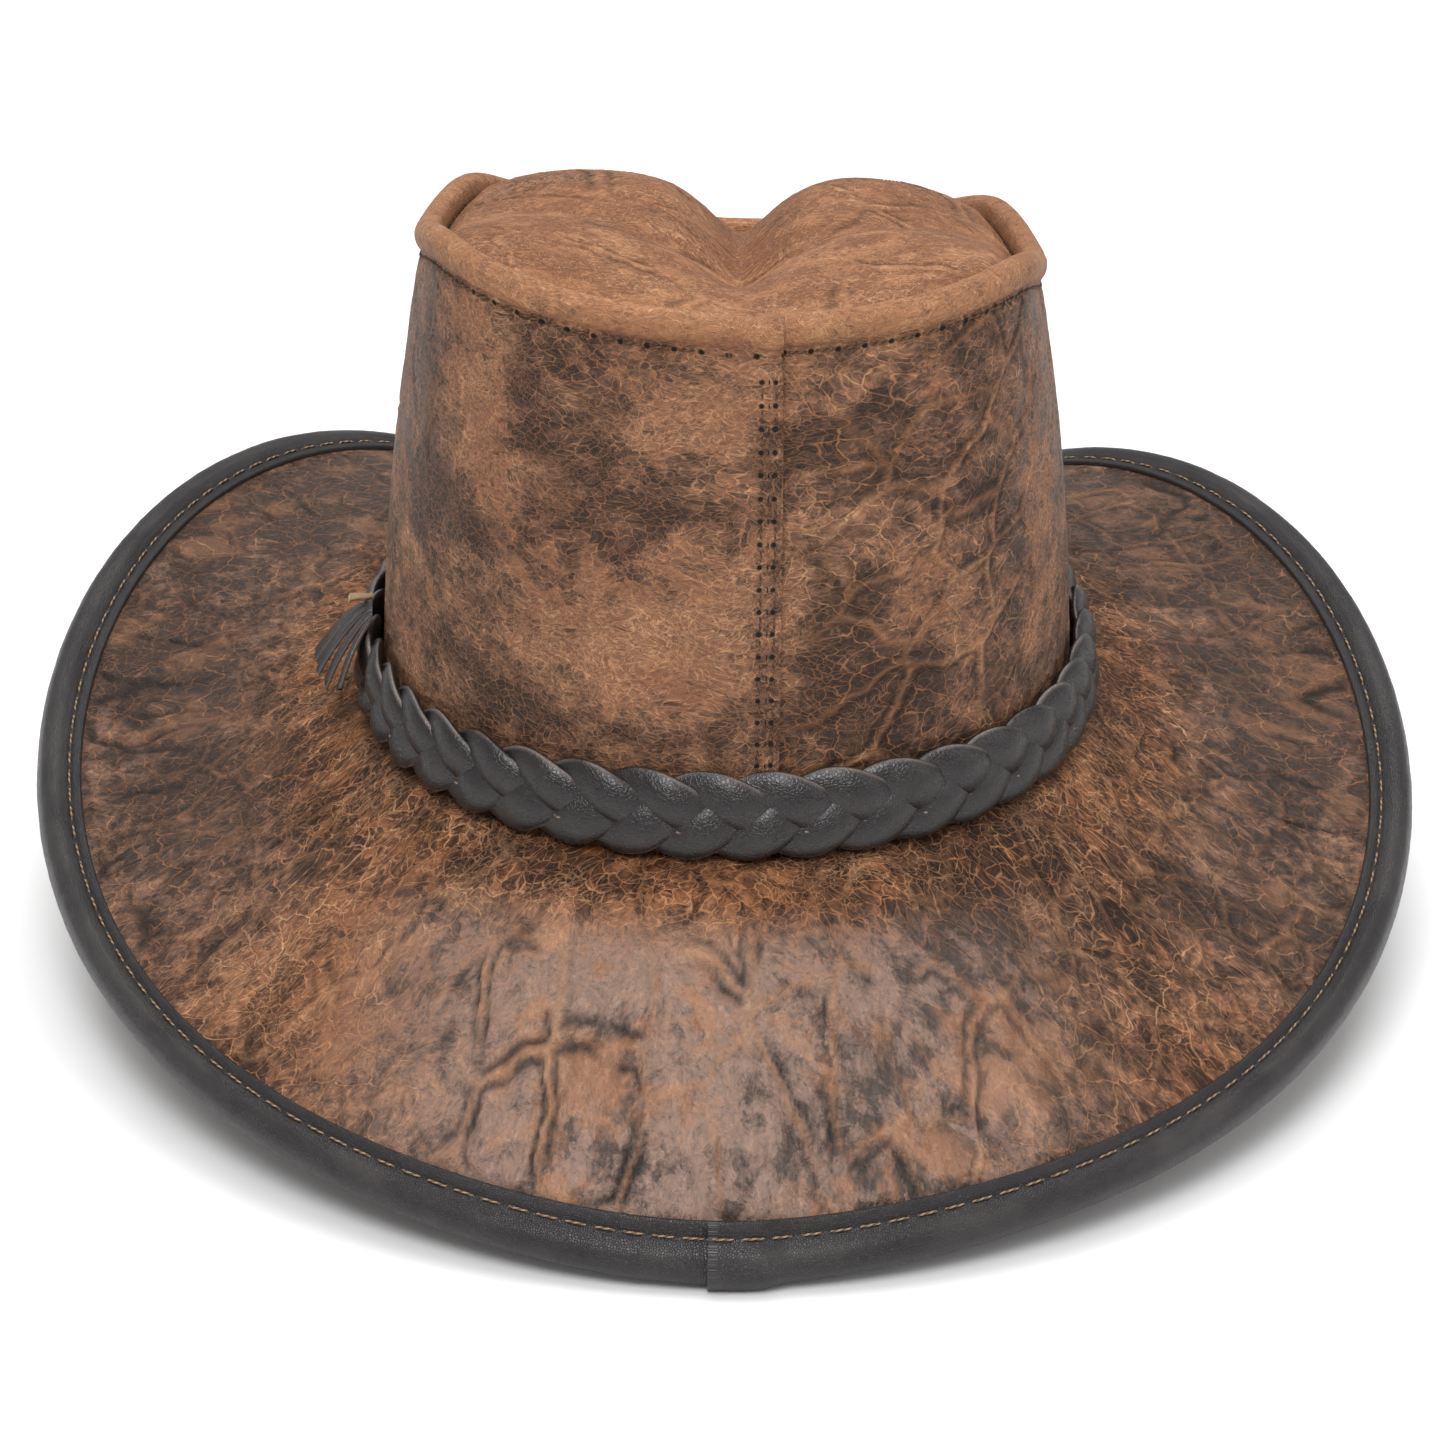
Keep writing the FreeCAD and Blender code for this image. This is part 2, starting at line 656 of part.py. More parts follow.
def make_lining_parts():
    """Tape over the leather's raw edge, the sweatband, and the thread of both."""
    height = size["sweatband_height"]
    tape_levels = (0.5, 4.5, 8.5, size["tape_height"])
    band_levels = (-2, height / 4, height / 2, height - 2)
    tape = band_inside(TAPE_OFFSET, size["tape_thick"], tape_levels)
    sweatband = band_inside(SWEATBAND_OFFSET, size["sweatband_leather"], band_levels)
    middle = TAPE_OFFSET + size["tape_thick"] + 0.35
    inner = SWEATBAND_OFFSET + size["sweatband_leather"] + size["thread_radius"]

    def base_seam(angle):
        return wall_at_level(angle, 7.0) - outward(crown_base, angle) * middle

    def sweatband_seam(angle):
        return wall_at_level(angle, 2.0) - outward(crown_base, angle) * inner

    base_marks = even_angles(base_seam, 5.0)
    band_marks = even_angles(sweatband_seam, 4.0)
    base_thread = stitches(base_seam, tangent_of(base_seam), base_marks, 3.6)
    band_thread = stitches(sweatband_seam, tangent_of(sweatband_seam), band_marks, 2.8)
    return [add_feature("crown_base_tape", tape),
            add_feature("sweatband", sweatband),
            add_feature("crown_base_stitching", base_thread),
            add_feature("sweatband_stitching", band_thread)]


# ---------------------------------------------------------------- plait hat band
PLAIT_START = math.radians(-84)
PLAIT_GAP = math.radians(0.6)
PLAIT_FOOT = 4.7            # middle of the plait off the wall, at its foot
PLAIT_HEAD = 2.9            # and at its top


def plait_point(angle, rise, depth):
    """Point of the plait: rise from its middle line, depth out from its middle layer."""
    level = size["plait_height"] + rise
    share = level / (2 * size["plait_height"])
    off = PLAIT_FOOT + (PLAIT_HEAD - PLAIT_FOOT) * share + depth
    return wall_at_level(angle, level) + outward(crown_base, angle) * off


def plait_angles(steps):
    """Angles at equal steps of length along the middle of the plait, from end to end."""
    fine = 3000
    stop = PLAIT_START + 2 * math.pi - PLAIT_GAP
    marks = [PLAIT_START + (stop - PLAIT_START) * i / fine for i in range(fine + 1)]
    points = [plait_point(mark, 0, 0) for mark in marks]
    run = [0.0]
    for low, high in zip(points, points[1:]):
        run.append(run[-1] + (high - low).Length)
    angles = []
    place = 0
    for k in range(steps + 1):
        target = min(run[-1] * k / steps, run[-1] - 1e-9)
        while run[place + 1] < target:
            place += 1
        share = (target - run[place]) / (run[place + 1] - run[place])
        angles.append(marks[place] + (marks[place + 1] - marks[place]) * share)
    return angles, run[-1]


def make_strands():
    """Three flat strands that swing over and under each other round the crown."""
    angles, length = plait_angles(STRAND_STEPS)
    half = size["strand_half_width"]
    across_stations = (-1.0, -0.92, -0.4, 0.4, 0.92, 1.0)
    edge_thin = (0.35, 0.9, 1.0, 1.0, 0.9, 0.35)
    strands = []
    for strand in range(3):
        outer_rows = []
        inner_rows = []
        for k, angle in enumerate(angles):
            turn = 2 * math.pi * (PLAIT_TURNS * k / STRAND_STEPS + strand / 3)
            rise = size["plait_swing"] * math.sin(turn)
            depth = -size["plait_weave"] * math.sin(2 * turn)
            slope = size["plait_swing"] * math.cos(turn) * 2 * math.pi * PLAIT_TURNS / length
            lean = math.atan(slope)
            outer = []
            inner = []
            for share, thin in zip(across_stations, edge_thin):
                shift = -half * share * math.sin(lean)
                place = angle + shift * (angles[-1] - angles[0]) / length
                height = rise + half * share * math.cos(lean)
                thick = size["strand_thick"] / 2 * thin
                outer.append(plait_point(place, height, depth + thick))
                inner.append(plait_point(place, height, depth - thick))
            outer_rows.append(outer)
            inner_rows.append(inner)
        label = "hat_band_strand_%d" % (strand + 1)
        strands.append(add_feature(label, leather_solid(outer_rows, inner_rows, closed=False)))
    return strands


def make_plait_stitching():
    out = size["plait_weave"] + size["strand_thick"] / 2 + size["thread_radius"]

    def line(angle):
        return plait_point(angle, -3.4, out)

    angles = even_angles(line, 5.9, PLAIT_START + 0.05, PLAIT_START + 2 * math.pi - 0.05)
    return add_feature("hat_band_stitching", stitches(line, tangent_of(line), angles, 4.6))


# ---------------------------------------------------------------- tassel on the left
TASSEL_ANGLE = math.radians(-80)
TASSEL_FOLD = (2.4, 23.4)           # fold line: off the wall foot, and above the brim
DROOP = 1.6                         # power of the curve by which a thong hangs down
# each thong: sideways at its root and tip, reach off the fold, drop to its tip, width at its tip
THONGS = ((-2.9, -11.3, 15.2, 18.5, 8.0),
          (0.0, -2.0, 14.5, 18.0, 8.4),
          (2.9, 7.2, 12.1, 17.0, 7.4),
          (5.8, 14.2, 8.8, 15.0, 5.6),
          (-8.4, -3.0, 6.0, -2.6, 4.4))


def make_thongs():
    """Flat thongs that fan out and down from one fold over the top of the plait."""
    side = outward(crown_base, TASSEL_ANGLE)
    along = UP.cross(side)
    fold = crown_base(TASSEL_ANGLE) + side * TASSEL_FOLD[0] + UP * TASSEL_FOLD[1]
    half_thick = size["thong_thick"] / 2
    steps = 8
    thongs = []
    for number, (root, tip, reach, drop, tip_width) in enumerate(THONGS, start=1):
        outer_rows = []
        inner_rows = []
        for i in range(steps + 1):
            share = i / steps
            middle = (fold + side * (reach * share) - UP * (drop * share ** DROOP)
                      + along * (root + (tip - root) * share))
            steepness = DROOP * drop * share ** (DROOP - 1) / reach
            normal = (UP + side * steepness).normalize()
            half = (size["thong_root"] + (tip_width - size["thong_root"]) * share) / 2
            stations = [middle + along * (half * place) for place in (-1.0, -0.4, 0.4, 1.0)]
            outer_rows.append([point + normal * half_thick for point in stations])
            inner_rows.append([point - normal * half_thick for point in stations])
        label = "tassel_thong_%d" % number
        thongs.append(add_feature(label, leather_solid(outer_rows, inner_rows, closed=False)))
    return thongs


# ---------------------------------------------------------------- build, check and write
nodes = [make_crown_wall(), make_crown_tip(), make_rim_stitching(), make_tip_seam_stitching()]
nodes += make_seam_rows()
nodes += make_brim_layers()
nodes += [make_binding(), make_binding_stitching(), make_wire(), make_ferrule()]
nodes += make_lining_parts()
nodes += make_strands()
nodes += [make_plait_stitching()]
nodes += make_thongs()
doc.recompute()

for item in doc.Objects:
    if "Invalid" in item.State or "Error" in item.State:
        raise RuntimeError("%s did not recompute: %s" % (item.Label, item.State))
for node in nodes:
    shape = node.Shape
    if shape.isNull() or not shape.isValid() or not shape.Solids:
        raise RuntimeError("%s is not a valid solid" % node.Label)

os.makedirs("parts", exist_ok=True)
for node in nodes:
    node.Shape.exportStep("parts/%s.step" % node.Label)
    print("%-28s %3d solids %10.1f mm3" % (node.Label, len(node.Shape.Solids), node.Shape.Volume))
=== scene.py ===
import math

import bpy
import numpy as np
from mathutils import Matrix, Vector


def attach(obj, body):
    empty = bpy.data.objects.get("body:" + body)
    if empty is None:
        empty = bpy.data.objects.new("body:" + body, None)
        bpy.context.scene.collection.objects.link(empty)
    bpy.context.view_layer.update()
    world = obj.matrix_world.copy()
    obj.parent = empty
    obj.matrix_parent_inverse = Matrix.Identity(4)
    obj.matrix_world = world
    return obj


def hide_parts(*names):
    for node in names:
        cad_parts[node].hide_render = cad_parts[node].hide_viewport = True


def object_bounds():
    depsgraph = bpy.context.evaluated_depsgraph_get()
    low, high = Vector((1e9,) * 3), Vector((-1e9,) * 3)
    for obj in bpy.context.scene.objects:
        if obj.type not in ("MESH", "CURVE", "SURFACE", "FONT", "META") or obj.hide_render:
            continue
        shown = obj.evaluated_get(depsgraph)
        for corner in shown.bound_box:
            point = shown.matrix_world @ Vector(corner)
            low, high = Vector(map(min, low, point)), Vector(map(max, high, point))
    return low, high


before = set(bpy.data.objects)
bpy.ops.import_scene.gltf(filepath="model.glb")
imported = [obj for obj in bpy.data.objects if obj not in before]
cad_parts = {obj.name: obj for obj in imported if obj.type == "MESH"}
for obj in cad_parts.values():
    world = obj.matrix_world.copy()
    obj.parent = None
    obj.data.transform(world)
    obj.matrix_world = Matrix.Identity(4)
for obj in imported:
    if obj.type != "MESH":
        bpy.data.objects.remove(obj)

CAD_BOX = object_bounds()
MM = 0.001
TURN = 2 * math.pi
UP = np.array([0.0, 0.0, 1.0])


# ------------ curves of the hat
def points(x, y, z):
    return np.stack(np.broadcast_arrays(x, y, z), axis=-1).astype(float)


def unit(vectors):
    return vectors / np.linalg.norm(vectors, axis=-1, keepdims=True)


def smooth(value, low, high):
    """0 below low, 1 above high, with a smooth step between."""
    share = np.clip((value - low) / (high - low), 0, 1)
    return share * share * (3 - 2 * share)


def bell(distance, width):
    """1 at no distance, and next to nothing beyond twice the width."""
    return np.exp(-(distance / width) ** 2)


def crown_base(angle):
    """Outside of the crown wall where it meets the brim."""
    return points(87.0 * np.sin(angle) + 3.5 * np.sin(2 * angle), -102.2 * np.cos(angle), 0)


RIM_SHIFT = 6.4             # crown rim centre ahead of the head opening


def crown_rim(angle):
    """Outside of the crown wall at the stitching below the bead."""
    x = 85.3 * np.sin(angle) + 11.2 * np.sin(3 * angle) + 2.2 * np.sin(5 * angle)
    y = RIM_SHIFT - 82.7 * np.cos(angle)
    z = (109.0 + 17.2 * np.cos(angle) - 4.2 * np.cos(2 * angle) - 4.2 * np.cos(4 * angle)
         - 3.1 * np.sin(angle))
    return points(x, y, z)


def brim_outline(angle):
    """Outermost line of the binding roll."""
    front = ((1 - np.cos(angle)) / 2) ** 3
    x = 161.2 * np.sin(angle) - 18.5 * np.sin(3 * angle)
    y = (7.8 - 190.7 * np.cos(angle) - 4.4 * np.cos(2 * angle) + 16.1 * np.cos(3 * angle)
         + 18.0 * front)
    from_back = np.abs(np.degrees(np.mod(angle + math.pi, TURN) - math.pi))
    quarter = bell(from_back - 122.0, 24.0)
    z = (-38.0 - 25.4 * np.cos(angle) - 21.7 * np.cos(2 * angle) + 19.3 * np.cos(3 * angle)
         - 6.9 * np.cos(4 * angle) - 2.9 * np.sin(angle) ** 3 - 8.8 * front - 3.6 * quarter)
    return points(x, y, z)


def along(curve, angle, step=1e-3):
    """Unit direction of a ring curve as the angle grows."""
    return unit(curve(angle + step) - curve(angle - step))


def outward(curve, angle):
    """Horizontal direction away from the hat's middle, square to a ring curve."""
    tangent = along(curve, angle, 1e-4)
    return unit(points(tangent[..., 1], -tangent[..., 0], 0))


def wall_at(angle, height):
    """Outside of the crown wall, height 0 at the brim and 1 at the rim stitching."""
    angle, height = np.broadcast_arrays(angle, height)
    base = crown_base(angle)
    bow = 2.5 * 4 * height * (1 - height)
    return base + (crown_rim(angle) - base) * height[..., None] + outward(crown_base, angle) * bow[..., None]


def wall_at_level(angle, level):
    """Outside of the crown wall at a level in millimetres above the brim."""
    angle, level = np.broadcast_arrays(angle, level)
    return wall_at(angle, level / crown_rim(angle)[..., 2])


def brim_top(angle, across):
    """Top of the brim, across 0 beside the crown and 1 at the leather's edge."""
    angle, across = np.broadcast_arrays(angle, across)
    inner = crown_base(angle) + outward(crown_base, angle) * 5.0
    outer = brim_outline(angle) - outward(brim_outline, angle) * 4.1
    sag = (1.5 + 8.5 * np.cos(2 * angle)) * 4 * across * (1 - across)
    return inner + (outer - inner) * across[..., None] + UP * sag[..., None]


def brim_normal(angle, across):
    step = 1e-3
    round_hat = brim_top(angle + step, across) - brim_top(angle - step, across)
    away = brim_top(angle, across + step) - brim_top(angle, across - step)
    return unit(np.cross(away, round_hat))


BRIM_LEATHER = 1.4
STIFFENER = 1.0
BRIM_DEPTH = 3.8            # two leathers and the stiffener
UPSTAND = 12.0              # margin of the top leather turned up inside the crown


def edge_point(angle, out, rise):
    """Point beside the brim's edge: out past the leather's edge, rise above its top."""
    angle, out, rise = np.broadcast_arrays(angle, out, rise)
    width = np.linalg.norm(brim_top(angle, 1.0) - crown_base(angle), axis=-1)
    across = 1 + np.minimum(out, 0) / width
    away = brim_top(angle, 1.0) - brim_top(angle, 0.97)
    edge = along(lambda a: brim_top(a, 1.0), angle)
    away = unit(away - edge * np.sum(away * edge, axis=-1, keepdims=True))
    beyond = away * np.maximum(out, 0)[..., None]
    return brim_top(angle, across) + beyond + brim_normal(angle, across) * rise[..., None]


def ring_length(curve, start, stop, fine=4000):
    """Angles along a stretch of a ring curve, and the length run at each."""
    marks = np.linspace(start, stop, fine + 1)
    steps = np.linalg.norm(np.diff(curve(marks), axis=0), axis=1)
    return marks, np.concatenate([[0.0], np.cumsum(steps)])


def even_angles(curve, pitch, start=0.0, stop=TURN):
    """Middles of equal steps of about one pitch along a stretch of a ring curve."""
    marks, run = ring_length(curve, start, stop)
    count = int(round(run[-1] / pitch))
    return np.interp((np.arange(count) + 0.5) * run[-1] / count, run, marks)


def through(controls, steps):
    """Smooth rows through control rows, which are the second axis of an array of points."""
    padded = np.concatenate([2 * controls[:, :1] - controls[:, 1:2], controls,
                             2 * controls[:, -1:] - controls[:, -2:-1]], axis=1)
    rows = []
    for k in range(controls.shape[1] - 1):
        before, start, stop, after = (padded[:, k + i] for i in range(4))
        for t in np.arange(steps) / steps:
            rows.append(0.5 * (2 * start + (stop - before) * t
                               + (2 * before - 5 * start + 4 * stop - after) * t ** 2
                               + (3 * start - before - 3 * stop + after) * t ** 3))
    rows.append(controls[:, -1])
    return np.stack(rows, axis=1)


# ------------ random patterns
def lattice(column, row, seed):
    """Repeatable random number from 0 to 1 for each whole-number place."""
    mixed = column.astype(np.int64) * 374761393 + row.astype(np.int64) * 668265263 + seed * 144665
    mixed = mixed & 0xFFFFFFFF
    mixed = ((mixed ^ (mixed >> 13)) * 1274126177) & 0xFFFFFFFF
    mixed = ((mixed ^ (mixed >> 15)) * 2246822519) & 0xFFFFFFFF
    return ((mixed ^ (mixed >> 16)) & 0xFFFFFF) / 0xFFFFFF


def noise(u, v, seed):
    """Smooth random field from -1 to 1 with one bump per unit."""
    column, row = np.floor(u), np.floor(v)
    x, y = smooth(u - column, 0, 1), smooth(v - row, 0, 1)
    corners = [lattice(column + i, row + j, seed) for j in (0, 1) for i in (0, 1)]
    low = corners[0] * (1 - x) + corners[1] * x
    high = corners[2] * (1 - x) + corners[3] * x
    return 2 * (low * (1 - y) + high * y) - 1


def fractal(u, v, seed, octaves=4):
    """Sum of noise at ever finer scales, about -1 to 1."""
    total = 0.0
    for k in range(octaves):
        turned_u = 0.8 * u - 0.6 * v
        turned_v = 0.6 * u + 0.8 * v
        u, v = (turned_u, turned_v) if k else (u, v)
        total = total + noise(u * 2 ** k + 17.3 * k, v * 2 ** k - 9.1 * k, seed + k) / 2 ** k
    return total / 1.6


def blotches(u, v, size, seed, low, high, octaves=4):
    """Soft-edged random areas of about one size, from 0 to 1."""
    return smooth(fractal(u / size, v / size, seed, octaves), low, high)


def cells(u, v, seed, jitter=0.85):
    """Distance to the nearest border between random cells, in cell widths, and the cell's number."""
    column, row = np.floor(u), np.floor(v)
    nearest = np.full(u.shape, np.inf)
    near_x = np.zeros(u.shape)
    near_y = np.zeros(u.shape)
    number = np.zeros(u.shape)
    offsets = [(i, j) for i in range(-2, 3) for j in range(-2, 3)]
    seeds = []
    for i, j in offsets:
        x = column + i + 0.5 + jitter * (lattice(column + i, row + j, seed) - 0.5) - u
        y = row + j + 0.5 + jitter * (lattice(column + i, row + j, seed + 1) - 0.5) - v
        seeds.append((x, y))
        reach = x * x + y * y
        closer = reach < nearest
        nearest = np.where(closer, reach, nearest)
        near_x = np.where(closer, x, near_x)
        near_y = np.where(closer, y, near_y)
        number = np.where(closer, lattice(column + i, row + j, seed + 2), number)
    border = np.full(u.shape, np.inf)
    for x, y in seeds:
        gap_x, gap_y = x - near_x, y - near_y
        gap = np.hypot(gap_x, gap_y)
        distance = (0.5 * (x + near_x) * gap_x + 0.5 * (y + near_y) * gap_y) / np.maximum(gap, 1e-6)
        border = np.where(gap > 1e-6, np.minimum(border, distance), border)
    return border, number


def patches(u, v, spots):
    """Sum of soft spots, each (u, v, half width, half height, strength)."""
    total = np.zeros(np.broadcast(u, v).shape)
    for spot_u, spot_v, half_u, half_v, strength in spots:
        away = ((u - spot_u) / half_u) ** 2 + ((v - spot_v) / half_v) ** 2
        total = total + strength * np.exp(-away)
    return total


# ------------ leather relief
def turned(u, v, degrees):
    """Coordinates turned by an angle, so that a stretched pattern can lie on the slant."""
    c, s = math.cos(math.radians(degrees)), math.sin(math.radians(degrees))
    return c * u + s * v, -s * u + c * v


def leather_relief(u, v, seed, fold_size, fold_amount, vein_size, vein_amount, slant=35, stretch=1.5):
    """Height in millimetres of cracked leather, and its folds and crevices from 0 to 1.

    Folds are the long raised borders between big cells, with a crevice on one side.
    Veins are the finer net inside the cells.
    """
    wander_u = u + 4.5 * fractal(u / 26, v / 26, seed + 10) + 1.3 * fractal(u / 5, v / 5, seed + 20, 3)
    wander_v = v + 4.5 * fractal(u / 26, v / 26, seed + 30) + 1.3 * fractal(u / 5, v / 5, seed + 40, 3)
    slant_u, slant_v = turned(wander_u, wander_v, slant)
    border, number = cells(slant_u / (fold_size * stretch), slant_v / fold_size, seed + 50)
    distance = border * fold_size
    crest = bell(distance, 0.7 + 0.3 * fractal(u / 9, v / 9, seed + 60, 2))
    one_side = smooth(fractal(u / 12, v / 12, seed + 70, 2) + 0.8 * (number - 0.5), -0.25, 0.25)
    crevice = bell(distance - 1.6, 0.65) * one_side
    presence = np.minimum(fold_amount * blotches(u, v, 22, seed + 80, -0.55, 0.05, 3), 1)
    vein_border, _ = cells(slant_u / (vein_size * 1.25), slant_v / vein_size, seed + 90)
    vein = bell(vein_border * vein_size, 0.5)
    vein_presence = vein_amount * blotches(u, v, 14, seed + 100, -0.5, 0.2, 3)
    swell = 1 - bell(distance, 4.5)
    grain = fractal(u / 2.6, v / 2.2, seed + 110, 3)
    height = (presence * (0.5 * crest - 0.4 * crevice + 0.45 * swell)
              + 0.20 * vein_presence * vein + 0.10 * grain)
    return height, presence * crest, presence * crevice


def stitch_places(count, offset):
    """Seam coordinates on leather beside stitches: how many along the row, and millimetres off it."""
    return points(count, offset, 1.0)


def no_stitches(shape):
    """Seam coordinates on leather away from stitches."""
    return points(np.zeros(shape), 9.0, 0.0)


# ------------ meshes
def grid_faces(index, closed):
    """Quads over a grid of vertex numbers whose first axis runs round the hat."""
    following = np.roll(index, -1, axis=0)
    if not closed:
        index, following = index[:-1], following[:-1]
    quads = np.stack([index[:, :-1], following[:, :-1], following[:, 1:], index[:, 1:]], axis=-1)
    return quads.reshape(-1, 4)


def zip_faces(one, two):
    """Triangles between two rows of vertex numbers that run the same way."""
    faces = []
    i = j = 0
    while i < len(one) - 1 or j < len(two) - 1:
        if j == len(two) - 1 or (i < len(one) - 1 and (i + 1) * (len(two) - 1) <= (j + 1) * (len(one) - 1)):
            faces.append((one[i], one[i + 1], two[j]))
            i += 1
        else:
            faces.append((one[i], two[j + 1], two[j]))
            j += 1
    return faces


def add_piece(name, body, nodes, coords, faces, slots, materials, layers):
    """Mesh object in metres with smooth faces, attributes and its place in the frame."""
    mesh = bpy.data.meshes.new(name)
    mesh.from_pydata(coords * MM, [], [tuple(int(k) for k in face) for face in faces])
    for material in materials:
        mesh.materials.append(material)
    mesh.polygons.foreach_set("material_index", np.asarray(slots, np.int32))
    mesh.validate()
    mesh.shade_smooth()
    mesh.set_sharp_from_angle(angle=math.radians(50))
    for layer, values in layers.items():
        attribute = mesh.attributes.new(layer, "FLOAT_VECTOR", "POINT")
        attribute.data.foreach_set("vector", values.astype(np.float32).ravel())
    piece = bpy.data.objects.new(name, mesh)
    bpy.context.scene.collection.objects.link(piece)
    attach(piece, body)
    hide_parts(*nodes)
    return piece


def shell(name, outer, inner, materials, outer_layers, closed=True, body="hat"):
    """Closed strip of leather between two grids of points with the same number of rows round the hat.

    materials is the outer face's and the inner face's. Layers hold one grid of vectors for
    the outer face; the inner face gets its own lengths in "flat" and zero in the others.
    """
    rounds, outer_count = outer.shape[:2]
    inner_count = inner.shape[1]
    outer_index = np.arange(rounds * outer_count).reshape(rounds, outer_count)
    inner_index = rounds * outer_count + np.arange(rounds * inner_count).reshape(rounds, inner_count)
    faces = list(grid_faces(outer_index, closed))
    outer_faces = len(faces)
    faces += list(grid_faces(inner_index, closed)[:, ::-1])
    inner_faces = len(faces) - outer_faces
    pairs = [(outer_index[:, 0], inner_index[:, 0], False), (outer_index[:, -1], inner_index[:, -1], True)]
    for outer_row, inner_row, forward in pairs:
        strip = grid_faces(np.stack([outer_row, inner_row], axis=1), closed)
        faces += list(strip if forward else strip[:, ::-1])
    if not closed:
        start = zip_faces(list(outer_index[0]), list(inner_index[0]))
        stop = zip_faces(list(outer_index[-1]), list(inner_index[-1]))
        faces += start
        faces += [face[::-1] for face in stop]
    slots = [0] * outer_faces + [1] * (len(faces) - outer_faces)
    coords = np.concatenate([outer.reshape(-1, 3), inner.reshape(-1, 3)])
    layers = {}
    for layer, values in outer_layers.items():
        inside = inner if layer == "flat" else np.zeros_like(inner)
        layers[layer] = np.concatenate([values.reshape(-1, 3), inside.reshape(-1, 3)])
    if signed_volume(coords, faces[:outer_faces + inner_faces]) < 0:
        faces = [tuple(face)[::-1] for face in faces]
    return add_piece(name, body, [name], coords, faces, slots, materials, layers)


def signed_volume(coords, faces):
    """Six times the volume inside closed quads, negative where they face inwards."""
    quads = np.asarray(faces)
    a, b, c, d = (coords[quads[:, k]] for k in range(4))
    return np.sum(np.cross(a, b) * c) + np.sum(np.cross(a, c) * d)


def surface_normals(grid, closed, towards):
    """Unit normals of a grid of points, on the side that towards points to."""
    if closed:
        round_hat = np.roll(grid, -1, axis=0) - np.roll(grid, 1, axis=0)
    else:
        round_hat = np.gradient(grid, axis=0)
    normal = unit(np.cross(round_hat, np.gradient(grid, axis=1)))
    side = np.sum(normal * towards, axis=-1)
    return normal * (1 if side.mean() > 0 else -1)


def tubes(rings):
    """Coordinates and faces of closed tubes, from their rings (tube, ring, side, xyz)."""
    count, lengths, sides = rings.shape[:3]
    index = np.arange(count * lengths * sides).reshape(count, lengths, sides)
    faces = []
    for tube in index:
        wrapped = np.concatenate([tube, tube[:, :1]], axis=1)
        faces += list(grid_faces(wrapped, False))
        faces.append(tuple(tube[0]))
        faces.append(tuple(tube[-1][::-1]))
    return rings.reshape(-1, 3), faces


THREAD = 0.35               # thread radius
TWIST = 4.2                 # length of one turn of its plies
STITCH_GAP = 10.0           # step of the thread's pattern from one stitch to the next


def sew(name, centres, tangents, normals, length, material, radius=THREAD, sink=0.55, body="hat"):
    """One piece of arched, twisted stitches whose ends dive into the leather."""
    lengths, sides, plies = 13, 10, 2
    count = len(centres)
    share = np.linspace(-1, 1, lengths)
    turn = TURN * np.arange(sides) / sides
    binormals = np.cross(normals, tangents)
    arch = radius * 0.35 - (radius * 0.9 + sink) * np.abs(share) ** 7
    thick = radius * (1 - 0.35 * np.abs(share) ** 6)
    spin = TURN * share[:, None] * length / TWIST
    lobes = 1 + 0.13 * np.cos(plies * (turn[None, :] - spin))
    across = thick[:, None] * lobes * np.cos(turn)[None, :]
    rise = arch[:, None] + thick[:, None] * lobes * np.sin(turn)[None, :]
    run = (share * length / 2)[None, :, None]
    where = centres[:, None, None, :] + tangents[:, None, None, :] * run[..., None]
    rings = (where + binormals[:, None, None, :] * across[None, :, :, None]
             + normals[:, None, None, :] * rise[None, :, :, None])
    coords, faces = tubes(rings)
    flat = points(run + STITCH_GAP * np.arange(count)[:, None, None], turn[None, None, :], 0.0)
    return add_piece(name, body, [name], coords, faces, [0] * len(faces), [material],
                     {"flat": flat.reshape(-1, 3)})


# ------------ materials
def paint(red, green, blue):
    """Linear colour of a colour given as on a screen, 0 to 255."""
    linear = []
    for value in (red, green, blue):
        share = value / 255
        linear.append(share / 12.92 if share <= 0.04045 else ((share + 0.055) / 1.055) ** 2.4)
    return (*linear, 1.0)


